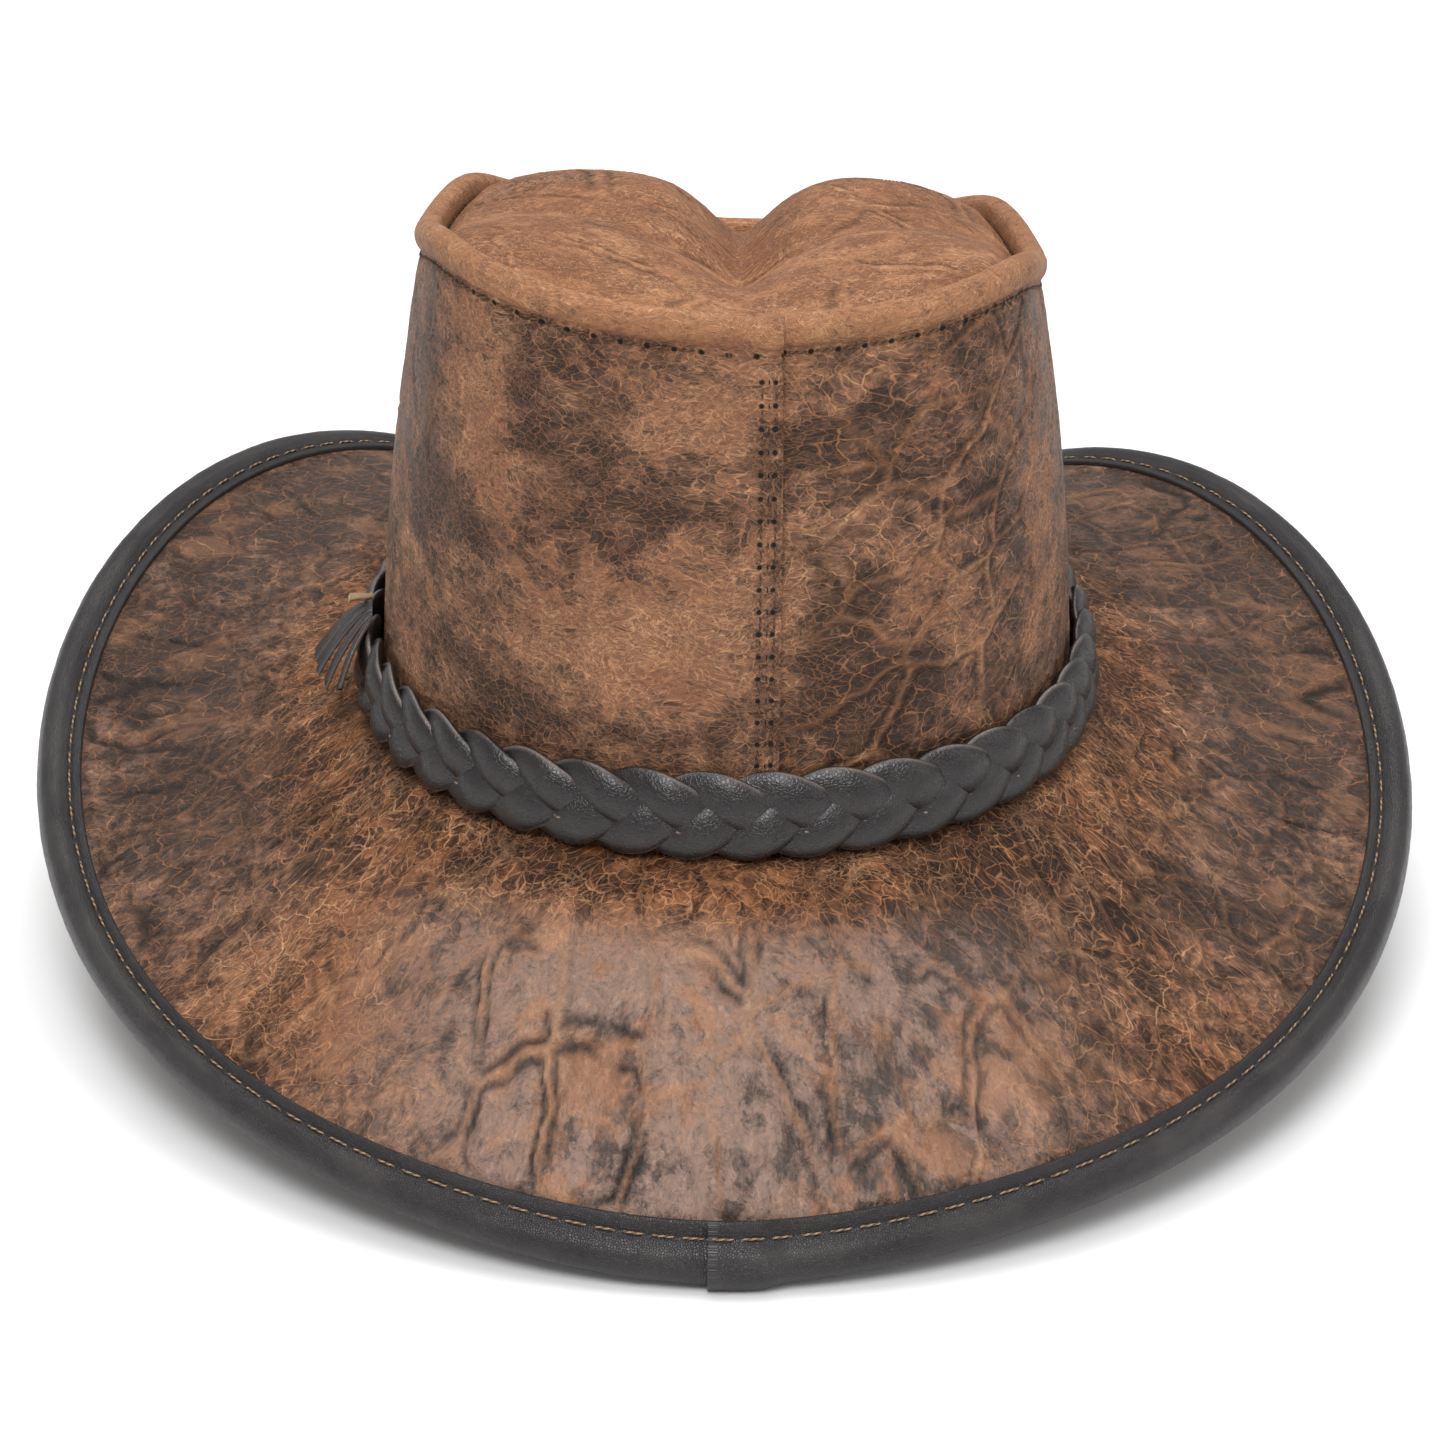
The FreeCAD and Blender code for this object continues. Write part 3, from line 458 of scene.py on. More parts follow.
class Graph:
    """Node graph of one material, laid by short calls that give back sockets."""

    def __init__(self, name, **settings):
        self.material = bpy.data.materials.new(name)
        self.material.use_nodes = True
        self.tree = self.material.node_tree
        self.tree.nodes.clear()
        output = self.tree.nodes.new("ShaderNodeOutputMaterial")
        self.shader = self.tree.nodes.new("ShaderNodeBsdfPrincipled")
        self.tree.links.new(self.shader.outputs[0], output.inputs["Surface"])
        for socket, value in settings.items():
            self.shader.inputs[socket.replace("_", " ")].default_value = value

    def node(self, kind, inputs, **settings):
        node = self.tree.nodes.new(kind)
        for key, value in settings.items():
            setattr(node, key, value)
        for key, value in inputs.items():
            self.put(node.inputs[key], value)
        return node

    def put(self, socket, value):
        if isinstance(value, bpy.types.NodeSocket):
            self.tree.links.new(value, socket)
        else:
            socket.default_value = value

    def vector_math(self, operation, inputs):
        return self.node("ShaderNodeVectorMath", inputs, operation=operation).outputs[0]

    def layer(self, name):
        return self.node("ShaderNodeAttribute", {}, attribute_name=name).outputs["Vector"]

    def split(self, vector):
        return self.node("ShaderNodeSeparateXYZ", {0: vector}).outputs

    def noise(self, place, scale, detail=3.0, rough=0.55):
        inputs = {"Vector": place, "Scale": scale, "Detail": detail, "Roughness": rough}
        return self.node("ShaderNodeTexNoise", inputs).outputs["Fac"]

    def shift(self, place, scale, amount):
        """Place moved about by noise, up to half the amount each way."""
        inputs = {"Vector": place, "Scale": scale, "Detail": 2.0}
        colour = self.node("ShaderNodeTexNoise", inputs).outputs["Color"]
        centred = self.vector_math("SUBTRACT", {0: colour, 1: (0.5, 0.5, 0.5)})
        scaled = self.vector_math("SCALE", {0: centred, "Scale": amount})
        return self.vector_math("ADD", {0: place, 1: scaled})

    def stretch(self, place, degrees, factor):
        """Place turned by an angle and squeezed, so that patterns lie long on the slant."""
        turn = (0.0, 0.0, math.radians(degrees))
        inputs = {"Vector": place, "Rotation": turn, "Scale": (1 / factor, 1.0, 1.0)}
        return self.node("ShaderNodeMapping", inputs).outputs[0]

    def borders(self, place, scale):
        inputs = {"Vector": place, "Scale": scale}
        node = self.node("ShaderNodeTexVoronoi", inputs, voronoi_dimensions="2D", feature="DISTANCE_TO_EDGE")
        return node.outputs["Distance"]

    def cell_number(self, place, scale):
        node = self.node("ShaderNodeTexVoronoi", {"Vector": place, "Scale": scale}, voronoi_dimensions="2D")
        return self.split(node.outputs["Color"])[0]

    def math(self, operation, one, two=0.0):
        return self.node("ShaderNodeMath", {0: one, 1: two}, operation=operation).outputs[0]

    def plus(self, one, two):
        return self.math("ADD", one, two)

    def minus(self, one, two):
        return self.math("SUBTRACT", one, two)

    def times(self, one, two):
        return self.math("MULTIPLY", one, two)

    def most(self, one, two):
        return self.math("MAXIMUM", one, two)

    def step(self, value, low, high, start=0.0, stop=1.0):
        inputs = {"Value": value, "From Min": low, "From Max": high, "To Min": start, "To Max": stop}
        return self.node("ShaderNodeMapRange", inputs, interpolation_type="SMOOTHSTEP").outputs[0]

    def mix(self, share, one, two):
        return self.node("ShaderNodeMix", {0: share, 6: one, 7: two}, data_type="RGBA").outputs[2]

    def bump(self, height, distance_mm):
        inputs = {"Height": height, "Distance": distance_mm * MM, "Strength": 1.0}
        self.put(self.shader.inputs["Normal"], self.node("ShaderNodeBump", inputs).outputs[0])

    def colour(self, value):
        self.put(self.shader.inputs["Base Color"], value)

    def roughness(self, value):
        self.put(self.shader.inputs["Roughness"], value)


CHARCOAL = paint(36, 24, 19)
UMBER = paint(64, 38, 25)
CLAY = paint(124, 78, 50)
TAN = paint(188, 135, 95)
BRIGHT = paint(234, 186, 142)
DEEP = paint(15, 8, 5)
# pale grey-pink: painted sheen on the brim behind the crown, lighter grey-brown leather on the brim's sides
GREY_AND_PAINTED_SHEEN = paint(164, 134, 118)
CAMEL = paint(164, 114, 80)
RUST = paint(196, 122, 72)
SANDY = paint(196, 134, 92)
# near-black of the needle holes: painted shade
PUNCHED = paint(14, 9, 7)


HOLE_PITCH = 5.2            # millimetres between needle holes, for the size of a hole


def cracked_leather(name, lace, **settings):
    """Waxed hide: a light net of thin veins over dark cells, with fibrous tan areas.

    lace is how many of the net's cells lie along a millimetre. Reads the layers "flat"
    (millimetres on the hide), "relief" (fold, coarseness of the net, crevice), "tone" (dark,
    warm, gloss) and "seam" (stitches along a row, millimetres off it, 1 beside a row). Without
    settings of its own, the specular level follows the gloss.
    """
    g = Graph(name, **settings)
    flat = g.layer("flat")
    fold, coarse, crevice = g.split(g.layer("relief"))
    dark, warm, gloss = g.split(g.layer("tone"))
    along_seam, off_seam, near_seam = g.split(g.layer("seam"))

    swept = g.shift(g.stretch(flat, 35.0, 1.5), 0.08, 9.0)
    ragged = g.shift(swept, 0.5, 1.5)
    frayed = g.shift(ragged, 1.7, 0.55)
    cloud = g.noise(flat, 0.12, 6.0, 0.65)
    drift = g.noise(swept, 0.05, 5.0, 0.7)
    dust = g.noise(frayed, 1.2, 5.0, 0.75)
    fleck = g.step(dust, 0.35, 0.65)
    number = g.cell_number(ragged, lace)
    patchy = g.plus(g.step(drift, 0.38, 0.62), g.step(cloud, 0.35, 0.65, -0.4, 0.4))
    shade = g.plus(dark, g.step(cloud, 0.32, 0.68, -0.4, 0.4))

    width = g.step(dust, 0.3, 0.7, 0.05, 0.15)
    net = g.step(g.borders(ragged, lace), 0.01, width, 1.0, 0.0)
    fine = g.step(g.borders(frayed, lace * 2.1), 0.0, g.times(width, 1.4), 1.0, 0.0)
    web = g.step(g.borders(ragged, lace * 0.36), 0.0, g.times(width, 0.5), 1.0, 0.0)
    net = g.times(net, g.step(patchy, 0.0, 1.0, 0.9, 0.5))
    net = g.times(net, g.step(coarse, 0.2, 1.0, 1.0, 0.45))
    fine = g.times(fine, g.step(patchy, 0.1, 1.1, 0.15, 0.6))
    fine = g.times(fine, g.step(coarse, 0.0, 0.8, 1.0, 0.25))
    web = g.times(web, g.step(coarse, 0.0, 0.7, 0.25, 1.0))
    lines = g.most(g.most(net, fine), web)
    lines = g.times(lines, g.minus(1.0, g.times(gloss, 0.9)))
    streaked = g.times(fold, g.step(dust, 0.3, 0.65, 0.45, 1.0))
    lines = g.most(lines, g.times(streaked, 0.85))

    pit = g.plus(shade, g.step(number, 0.0, 1.0, -0.22, 0.22))
    pit = g.minus(pit, g.times(fleck, 0.25))
    hollow = g.mix(g.step(pit, -0.15, 0.4), CLAY, UMBER)
    hollow = g.mix(g.step(pit, 0.3, 0.95), hollow, CHARCOAL)
    # painted sheen: pale grey-pink mixed into the hollows as the gloss grows, strongest on the brim behind
    # the crown
    hollow = g.mix(g.times(gloss, g.step(pit, 0.9, 0.1, 0.15, 0.9)), hollow, GREY_AND_PAINTED_SHEEN)
    # light camel where the shade is low: painted light on the bead and partly on the tip, and the wall's own
    # lighter patches
    hollow = g.mix(g.step(shade, -0.4, -0.7, 0.0, 0.8), hollow, CAMEL)
    hollow = g.mix(g.step(dust, 0.3, 0.5, 0.55, 0.0), hollow, DEEP)
    raised = g.mix(g.step(drift, 0.4, 0.65), TAN, BRIGHT)
    raised = g.mix(g.step(shade, 0.1, 1.0, 0.0, 0.6), raised, CLAY)
    raised = g.mix(g.times(warm, 0.35), raised, RUST)
    colour = g.mix(g.times(lines, 0.85), hollow, raised)
    worn_off = g.times(g.step(dust, 0.5, 0.72), g.step(shade, 0.9, -0.1, 0.1, 0.7))
    colour = g.mix(worn_off, colour, raised)
    wash = g.times(g.times(g.step(drift, 0.5, 0.62), gloss), 0.6)
    colour = g.mix(wash, colour, SANDY)
    # painted shade: crevices beside the folds, and the brim's furrows, darkened almost to black
    colour = g.mix(g.times(crevice, 0.9), colour, DEEP)
    # painted shade: needle holes along the seams painted almost black
    from_hole = g.minus(0.5, g.math("ABSOLUTE", g.minus(g.math("FRACT", along_seam), 0.5)))
    from_hole = g.times(from_hole, HOLE_PITCH)
    hole = g.plus(g.math("POWER", from_hole, 2.0), g.math("POWER", off_seam, 2.0))
    hole = g.times(g.step(hole, 0.12, 0.55, 1.0, 0.0), near_seam)
    g.colour(g.mix(hole, colour, PUNCHED))

    height = g.plus(g.times(lines, 0.6), g.times(dust, 0.6))
    height = g.plus(height, g.times(g.noise(flat, 2.6, 4.0, 0.65), 0.25))
    wrinkle = g.noise(g.shift(flat, 0.25, 4.0), 0.75, 5.0, 0.7)
    height = g.plus(height, g.times(g.times(wrinkle, gloss), 3.0))
    height = g.minus(height, g.plus(hole, g.times(crevice, 0.6)))
    g.bump(height, 0.6)
    rough = g.step(g.plus(shade, g.times(dust, 0.3)), 0.0, 1.1, 0.66, 0.5)
    g.roughness(g.minus(rough, g.times(gloss, 0.26)))
    if not settings:
        g.put(g.shader.inputs["Specular IOR Level"], g.step(gloss, 0.0, 1.0, 0.18, 0.9))
    return g.material


def smooth_leather(name, dark, light, edge, grain=1.6, height=0.12, rough=(0.36, 0.5), **settings):
    """Even, fine-grained leather with slight mottling; "relief" x mixes in the edge colour: worn edges on
    most pieces, a painted highlight along the plait strands' edges.
    """
    g = Graph(name, **settings)
    flat = g.layer("flat")
    wear_and_highlight = g.split(g.layer("relief"))[0]
    mottle = g.noise(flat, 0.12, 4.0)
    fine = g.noise(flat, 1.1, 4.0, 0.6)
    pores = g.borders(g.shift(flat, 0.9, 0.8), grain)
    colour = g.mix(g.step(mottle, 0.35, 0.65), dark, light)
    colour = g.mix(g.times(g.step(fine, 0.4, 0.7), 0.25), colour, light)
    colour = g.mix(g.times(g.step(pores, 0.0, 0.12, 1.0, 0.0), 0.25), colour, DEEP)
    g.colour(g.mix(wear_and_highlight, colour, edge))
    g.bump(g.plus(g.step(pores, 0.0, 0.25), g.times(fine, 0.8)), height)
    g.roughness(g.step(fine, 0.3, 0.7, *rough))
    return g.material


def suede(name, dark, light):
    """Napped flesh side of leather with fine short fibres."""
    g = Graph(name)
    flat = g.layer("flat")
    nap = g.noise(flat, 3.0, 6.0, 0.75)
    cloud = g.noise(flat, 0.08, 4.0, 0.6)
    colour = g.mix(g.step(cloud, 0.35, 0.65), dark, light)
    g.colour(g.mix(g.step(nap, 0.35, 0.7, 0.35, 0.0), colour, dark))
    g.bump(nap, 0.35)
    g.roughness(g.step(nap, 0.3, 0.7, 0.85, 0.98))
    return g.material


def twisted_thread(name, dark, light):
    """Waxed two-ply thread; "flat" is millimetres along it and the turn round it."""
    g = Graph(name, Specular_IOR_Level=0.35)
    place = g.layer("flat")
    run, turn, _ = g.split(place)
    wave = g.math("SINE", g.plus(g.times(run, 3.0), g.times(turn, 2.0)))
    fuzz = g.noise(place, 2.2, 4.0, 0.7)
    g.colour(g.mix(g.step(g.plus(wave, fuzz), -0.6, 1.2), dark, light))
    g.bump(g.plus(wave, fuzz), 0.12)
    g.roughness(g.step(fuzz, 0.3, 0.7, 0.6, 0.8))
    return g.material


def on_surface(name, build):
    """Material of a hidden CAD node, patterned in object coordinates in millimetres."""
    g = Graph(name)
    coordinates = g.node("ShaderNodeTexCoord", {}).outputs["Object"]
    build(g, g.vector_math("SCALE", {0: coordinates, "Scale": 1 / MM}))
    return g.material


def drawn_steel(g, place):
    scratches = g.noise(place, 1.6, 5.0, 0.7)
    g.shader.inputs["Metallic"].default_value = 1.0
    g.colour(g.mix(scratches, paint(120, 120, 124), paint(188, 188, 192)))
    g.bump(scratches, 0.05)
    g.roughness(g.step(scratches, 0.3, 0.7, 0.28, 0.45))


def pressed_fibre(g, place):
    fibres = g.noise(place, 0.9, 6.0, 0.75)
    g.colour(g.mix(g.step(fibres, 0.35, 0.65), paint(120, 104, 84), paint(168, 150, 124)))
    g.bump(fibres, 0.2)
    g.roughness(g.step(fibres, 0.3, 0.7, 0.8, 0.95))


hide = cracked_leather("crown_hide", 0.6, Specular_IOR_Level=0.255)
brim_hide = cracked_leather("brim_hide", 0.5)
tip_hide = cracked_leather("tip_hide", 0.6, Specular_IOR_Level=0.2)
flesh = suede("flesh_side", paint(112, 78, 54), paint(150, 110, 78))
binding_leather = smooth_leather("binding_leather", paint(27, 23, 24), paint(38, 33, 34),
                                 paint(84, 78, 78), rough=(0.3, 0.42), Specular_IOR_Level=0.5)
# plait_leather's edge colour is a painted highlight along the plait strands' edges, and worn edges on the
# tassel thongs
plait_leather = smooth_leather("plait_leather", paint(20, 15, 15), paint(32, 26, 25),
                               paint(140, 126, 118), height=0.04, rough=(0.26, 0.34), Specular_IOR_Level=0.6)
lining_leather = smooth_leather("lining_leather", paint(120, 84, 56), paint(150, 108, 74),
                                paint(96, 64, 42), grain=0.9, height=0.15)
under_leather = smooth_leather("under_leather", paint(78, 52, 38), paint(116, 80, 56),
                               paint(60, 40, 30), grain=0.7, height=0.2, rough=(0.5, 0.65))
pale_flesh = suede("pale_flesh_side", paint(150, 120, 92), paint(188, 158, 126))
dark_flesh = suede("dark_flesh_side", paint(40, 33, 31), paint(58, 49, 46))
seam_thread = twisted_thread("seam_thread", paint(104, 84, 66), paint(164, 138, 110))
rim_thread = twisted_thread("rim_thread", paint(62, 42, 30), paint(112, 80, 56))
band_thread = twisted_thread("band_thread", paint(96, 78, 66), paint(156, 132, 112))
tape_weave = suede("woven_tape", paint(60, 48, 40), paint(92, 76, 62))


# ------------ crown wall
def signed_run(run, total):
    """Length round the hat from the back, negative on the left."""
    return np.where(run > total / 2, run - total, run)


LAP_START = math.radians(2.5)
LAP_EDGE = 12.5             # upright edge of the lap to the right of the middle
LAP_LIFT = 1.9
BEAD = ((1.2, 2.2), (1.3, 5.4), (-1.2, 7.6), (-4.1, 6.6), (-4.9, 3.2), (-4.5, -0.5))
BEAD_MIDDLE = (-1.6, 3.2)
WALL_LEATHER = 1.8
WALL_ROWS = 165
SEAM_ROWS = (7.7, 10.9)
SEAM_PITCH = 5.2
SEAM_FOOT = 25.0
RIM_PITCH = 6.3
RIM_ROW_DROP = 1.3          # stitch row this far down the leather from the foot of the bead

# Dark and warm areas of the wall: along from the back seam, up, half sizes, strength.
WALL_DARK = (
    (-84, 88, 9, 34, 0.55), (-38, 104, 8, 18, 0.45), (-22, 98, 9, 9, 0.3), (-28, 80, 10, 8, 0.4),
    (-9, 84, 9, 8, 0.55), (-58, 68, 12, 8, 0.45), (-66, 40, 14, 12, 0.35), (22, 58, 8, 16, 0.5),
    (24, 34, 10, 8, 0.5), (46, 38, 9, 8, 0.55), (34, 28, 14, 6, 0.5), (28, 96, 16, 12, 0.5),
    (10, 92, 5, 10, 0.35), (62, 84, 14, 22, 0.35), (74, 50, 10, 22, 0.35), (-40, 30, 24, 6, 0.3),
    (-20, 46, 13, 18, -0.6), (-52, 92, 8, 22, -0.4), (42, 62, 12, 14, -0.3), (-5, 106, 12, 8, -0.4),
    (-5, 55, 6, 30, -0.35), (-40, 60, 10, 20, -0.25),
)


def width_rate(height):
    """Millimetres to the right per radian at the back, at a height on the crown wall."""
    base = 87.0 + 2 * 3.5
    rim = 85.3 + 3 * 11.2 + 5 * 2.2
    return base + (rim - base) * height


def upright(angle, height):
    """Angle of the wall's strip at a height, so that the edge of its lap stands upright."""
    past_back = np.maximum(angle - TURN, 0)
    return angle - past_back * (1 - width_rate(0) / width_rate(height))


def crown_wall():
    lap_end = TURN + LAP_EDGE / width_rate(0)
    marks, run = ring_length(crown_base, 0.0, lap_end)
    total = np.interp(TURN, marks, run)
    start, stop = np.interp([LAP_START, lap_end], marks, run)
    place = np.linspace(start, stop, 1000)
    angle = np.interp(place, run, marks)[:, None]
    top_angle = upright(angle, 1.0)
    lift = LAP_LIFT * smooth(angle, TURN - math.radians(5), TURN + LAP_START - math.radians(0.5))
    side, top_side = outward(crown_base, angle), outward(crown_rim, top_angle)
    heights = np.linspace(0.0, 0.985, WALL_ROWS)[None, :]
    outer = wall_at(upright(angle, heights), heights) + side * lift[..., None]
    outer[:, 0] += 0.8 * UP
    rim = crown_rim(top_angle) + top_side * lift[..., None]

    def bead_rows(profile, steps):
        rows = [rim + top_side * out + UP * rise for out, rise in profile]
        return through(np.concatenate(rows, axis=1), steps)

    bead = bead_rows(((-0.15, 0.0),) + BEAD, 7)
    outer = np.concatenate([outer, bead], axis=1)
    inner_bead = []
    for out, rise in BEAD:
        gap = math.hypot(BEAD_MIDDLE[0] - out, BEAD_MIDDLE[1] - rise)
        share = WALL_LEATHER / gap
        inner_bead.append((out + (BEAD_MIDDLE[0] - out) * share, rise + (BEAD_MIDDLE[1] - rise) * share))
    low_heights = np.linspace(0.0, 0.98, 30)[None, :]
    inner = wall_at(upright(angle, low_heights), low_heights) + side * (lift[..., None] - WALL_LEATHER)
    inner[:, 0] += 0.8 * UP
    inner = np.concatenate([inner, bead_rows(inner_bead, 3)], axis=1)

    climb = np.concatenate([np.zeros((len(place), 1)),
                            np.cumsum(np.linalg.norm(np.diff(outer, axis=1), axis=2), axis=1)], axis=1)
    u = np.broadcast_to(place[:, None], climb.shape)
    signed = signed_run(np.broadcast_to(np.mod(place, total)[:, None], climb.shape), total)
    height, fold, crevice = leather_relief(u, climb, 100, 17, 1.0, 6.0, 1.0)
    rim_row = climb[:, WALL_ROWS:WALL_ROWS + 1]
    on_bead = smooth(climb, rim_row - 1, rim_row + 2)
    calm = (1 - 0.75 * on_bead) * smooth(climb, 1, 4)
    dark = 0.45 + 0.5 * fractal(signed / 30, climb / 24, 7) + 1.3 * patches(signed, climb, WALL_DARK)
    # painted light: the bead along the top of the wall gets a low dark tone, so it shows light camel as if
    # lit from above
    dark = dark * (1 - on_bead) - 0.75 * on_bead
    warm = 0.5 + 0.5 * fractal(signed / 26, climb / 26, 21)
    right = smooth(signed, 4, 30) * smooth(-signed, -110, -60)
    fold = 0.75 * fold * right * calm
    coarse = (0.15 + 0.85 * right) * blotches(u, climb, 20, 130, -0.7, 0.1) * calm
    crevice = 0.6 * crevice * right * calm
    groove = bell(climb - rim_row + RIM_ROW_DROP, 0.9)
    height = height * calm * (0.5 + 0.15 * right) - 0.55 * groove
    outer = outer + surface_normals(outer, False, np.broadcast_to(side, outer.shape)) * height[..., None]

    rim_angles, rim_run = ring_length(crown_rim, 0.0, TURN)
    stitch_count = round(rim_run[-1] / RIM_PITCH)
    stitch = np.interp(np.mod(top_angle, TURN), rim_angles, rim_run) / rim_run[-1] * stitch_count
    seam = stitch_places(np.broadcast_to(stitch, climb.shape), climb - rim_row + RIM_ROW_DROP)
    x, z = outer[..., 0], outer[..., 2]
    for row_x in SEAM_ROWS:
        beside = (np.abs(x - row_x) < 1.6) & (climb < rim_row - 3) & (angle > math.pi)
        upwards = stitch_places((z - SEAM_FOOT) / SEAM_PITCH + 0.5, x - row_x)
        seam = np.where(beside[..., None], upwards, seam)
    layers = {
        "flat": points(u, climb, 0.0),
        "relief": points(fold, coarse, crevice),
        "tone": points(dark, warm, 0.2),
        "seam": seam,
    }
    return shell("crown_wall", outer, inner, [hide, flesh], layers, closed=False)


# ------------ crown tip
TIP_INSET = 6.0
TIP_DARK = ((-44, 30, 24, 20, 0.35), (-30, -20, 12, 8, 0.5), (40, -10, 16, 14, 0.35), (50, 30, 20, 18, 0.3),
            (-10, -66, 30, 8, -0.3), (0, 30, 18, 30, 0.1), (16, -60, 12, 6, 0.25))


def rim_towards(x, y):
    """Point of the crown rim in the direction of a point of the tip panel."""
    wanted = np.arctan2(x, RIM_SHIFT - y)
    angle = wanted
    for _ in range(8):
        rim = crown_rim(angle)
        missed = wanted - np.arctan2(rim[..., 0], RIM_SHIFT - rim[..., 1])
        angle = angle + 0.8 * (np.mod(missed + math.pi, TURN) - math.pi)
    return crown_rim(angle)


def tip_height(x, y):
    """Top of the tip panel: the rim's height at its edge, two humps and a crease inside."""
    rim = rim_towards(x, y)
    reach = np.hypot(rim[..., 0], rim[..., 1] - RIM_SHIFT) - TIP_INSET
    share = np.minimum(np.hypot(x, y - RIM_SHIFT) / reach, 1.15)
    inside = np.maximum(1 - share ** 2, 0)
    hump = 11.3 * np.maximum(1 - share ** 4, 0) ** 1.15
    crease = 18.7 * inside ** 0.6 * np.exp(-(np.abs(x - 2.0) / 11.9) ** 1.6)
    crease = crease * (1 + np.tanh((y + 40.0) / 40.0)) / 2
    valley = 3.5 * inside * bell(y + 18.0 - 0.008 * x * x, 10.0)
    return 112.6 + (rim[..., 2] + 4.5 - 112.6) * share ** 2 + hump - crease - valley


def crown_tip():
    count = 221
    line = np.linspace(-1, 1, count)
    a, b = np.meshgrid(line, line, indexing="ij")
    wide = np.abs(a) >= np.abs(b)
    with np.errstate(divide="ignore", invalid="ignore"):
        turn = np.where(wide, math.pi / 4 * b / a, math.pi / 2 - math.pi / 4 * a / b)
    turn = np.nan_to_num(turn)
    share = np.where(wide, a, b)
    angle = np.where(share < 0, turn + math.pi, turn)
    share = np.abs(share)
    outline = crown_rim(angle) - outward(crown_rim, angle) * TIP_INSET
    x = outline[..., 0] * share
    y = RIM_SHIFT + (outline[..., 1] - RIM_SHIFT) * share
    edge = np.linalg.norm(outline[..., :2], axis=-1) * (1 - share)
    groove = 1.6 * bell(edge, 2.2)
    top = points(x, y, tip_height(x, y) - groove)
    height, fold, crevice = leather_relief(x, y, 300, 24, 0.8, 7.0, 0.6, slant=-20)
    calm = smooth(edge, 0.5, 5)
    normal = surface_normals(top, False, UP)
    bottom = top - normal * 1.8
    top = top + normal * (height * calm * 0.7)[..., None]
    # The tip's low dark tone makes it lighter: partly the panel's own tan, partly painted light on the top
    # of the hat.
    dark = -0.35 + 0.5 * fractal(x / 26, y / 14, 31) + patches(x, y, TIP_DARK)
    warm = 0.6 + 0.4 * fractal(x / 22, y / 22, 41)
    layers = {
        "flat": points(x, y, 0.0),
        "relief": points(fold * calm * 0.6, 0.3 * calm, crevice * calm * 0.7),
        "tone": points(dark, warm, 0.1),
        "seam": no_stitches(x.shape),
    }
    return shell("crown_tip", top, bottom, [tip_hide, flesh], layers, closed=False)


# ------------ brim
# Dark areas of the brim: place in plan, half sizes, strength.
BRIM_DARK = (
    (-138, -14, 18, 40, 0.35), (-150, 30, 16, 30, 0.35), (-120, 100, 40, 22, 0.45), (-104, 20, 10, 22, -0.3),
    (-118, -62, 20, 18, -0.15), (-76, -108, 16, 8, -0.4), (-60, -100, 12, 8, 0.2), (-30, -124, 26, 7, -0.5),
    (-14, -118, 8, 4, 0.2), (0, -142, 26, 12, 0.1), (60, -112, 20, 9, 0.25), (92, -80, 20, 20, 0.3),
    (134, -6, 16, 30, 0.35), (128, 84, 30, 30, 0.4), (150, 44, 12, 30, 0.25), (116, -46, 10, 20, -0.25),
    (112, 20, 8, 22, -0.1), (-98, -106, 16, 10, -0.2), (20, -126, 22, 8, -0.15), (46, -96, 16, 8, 0.25),
)


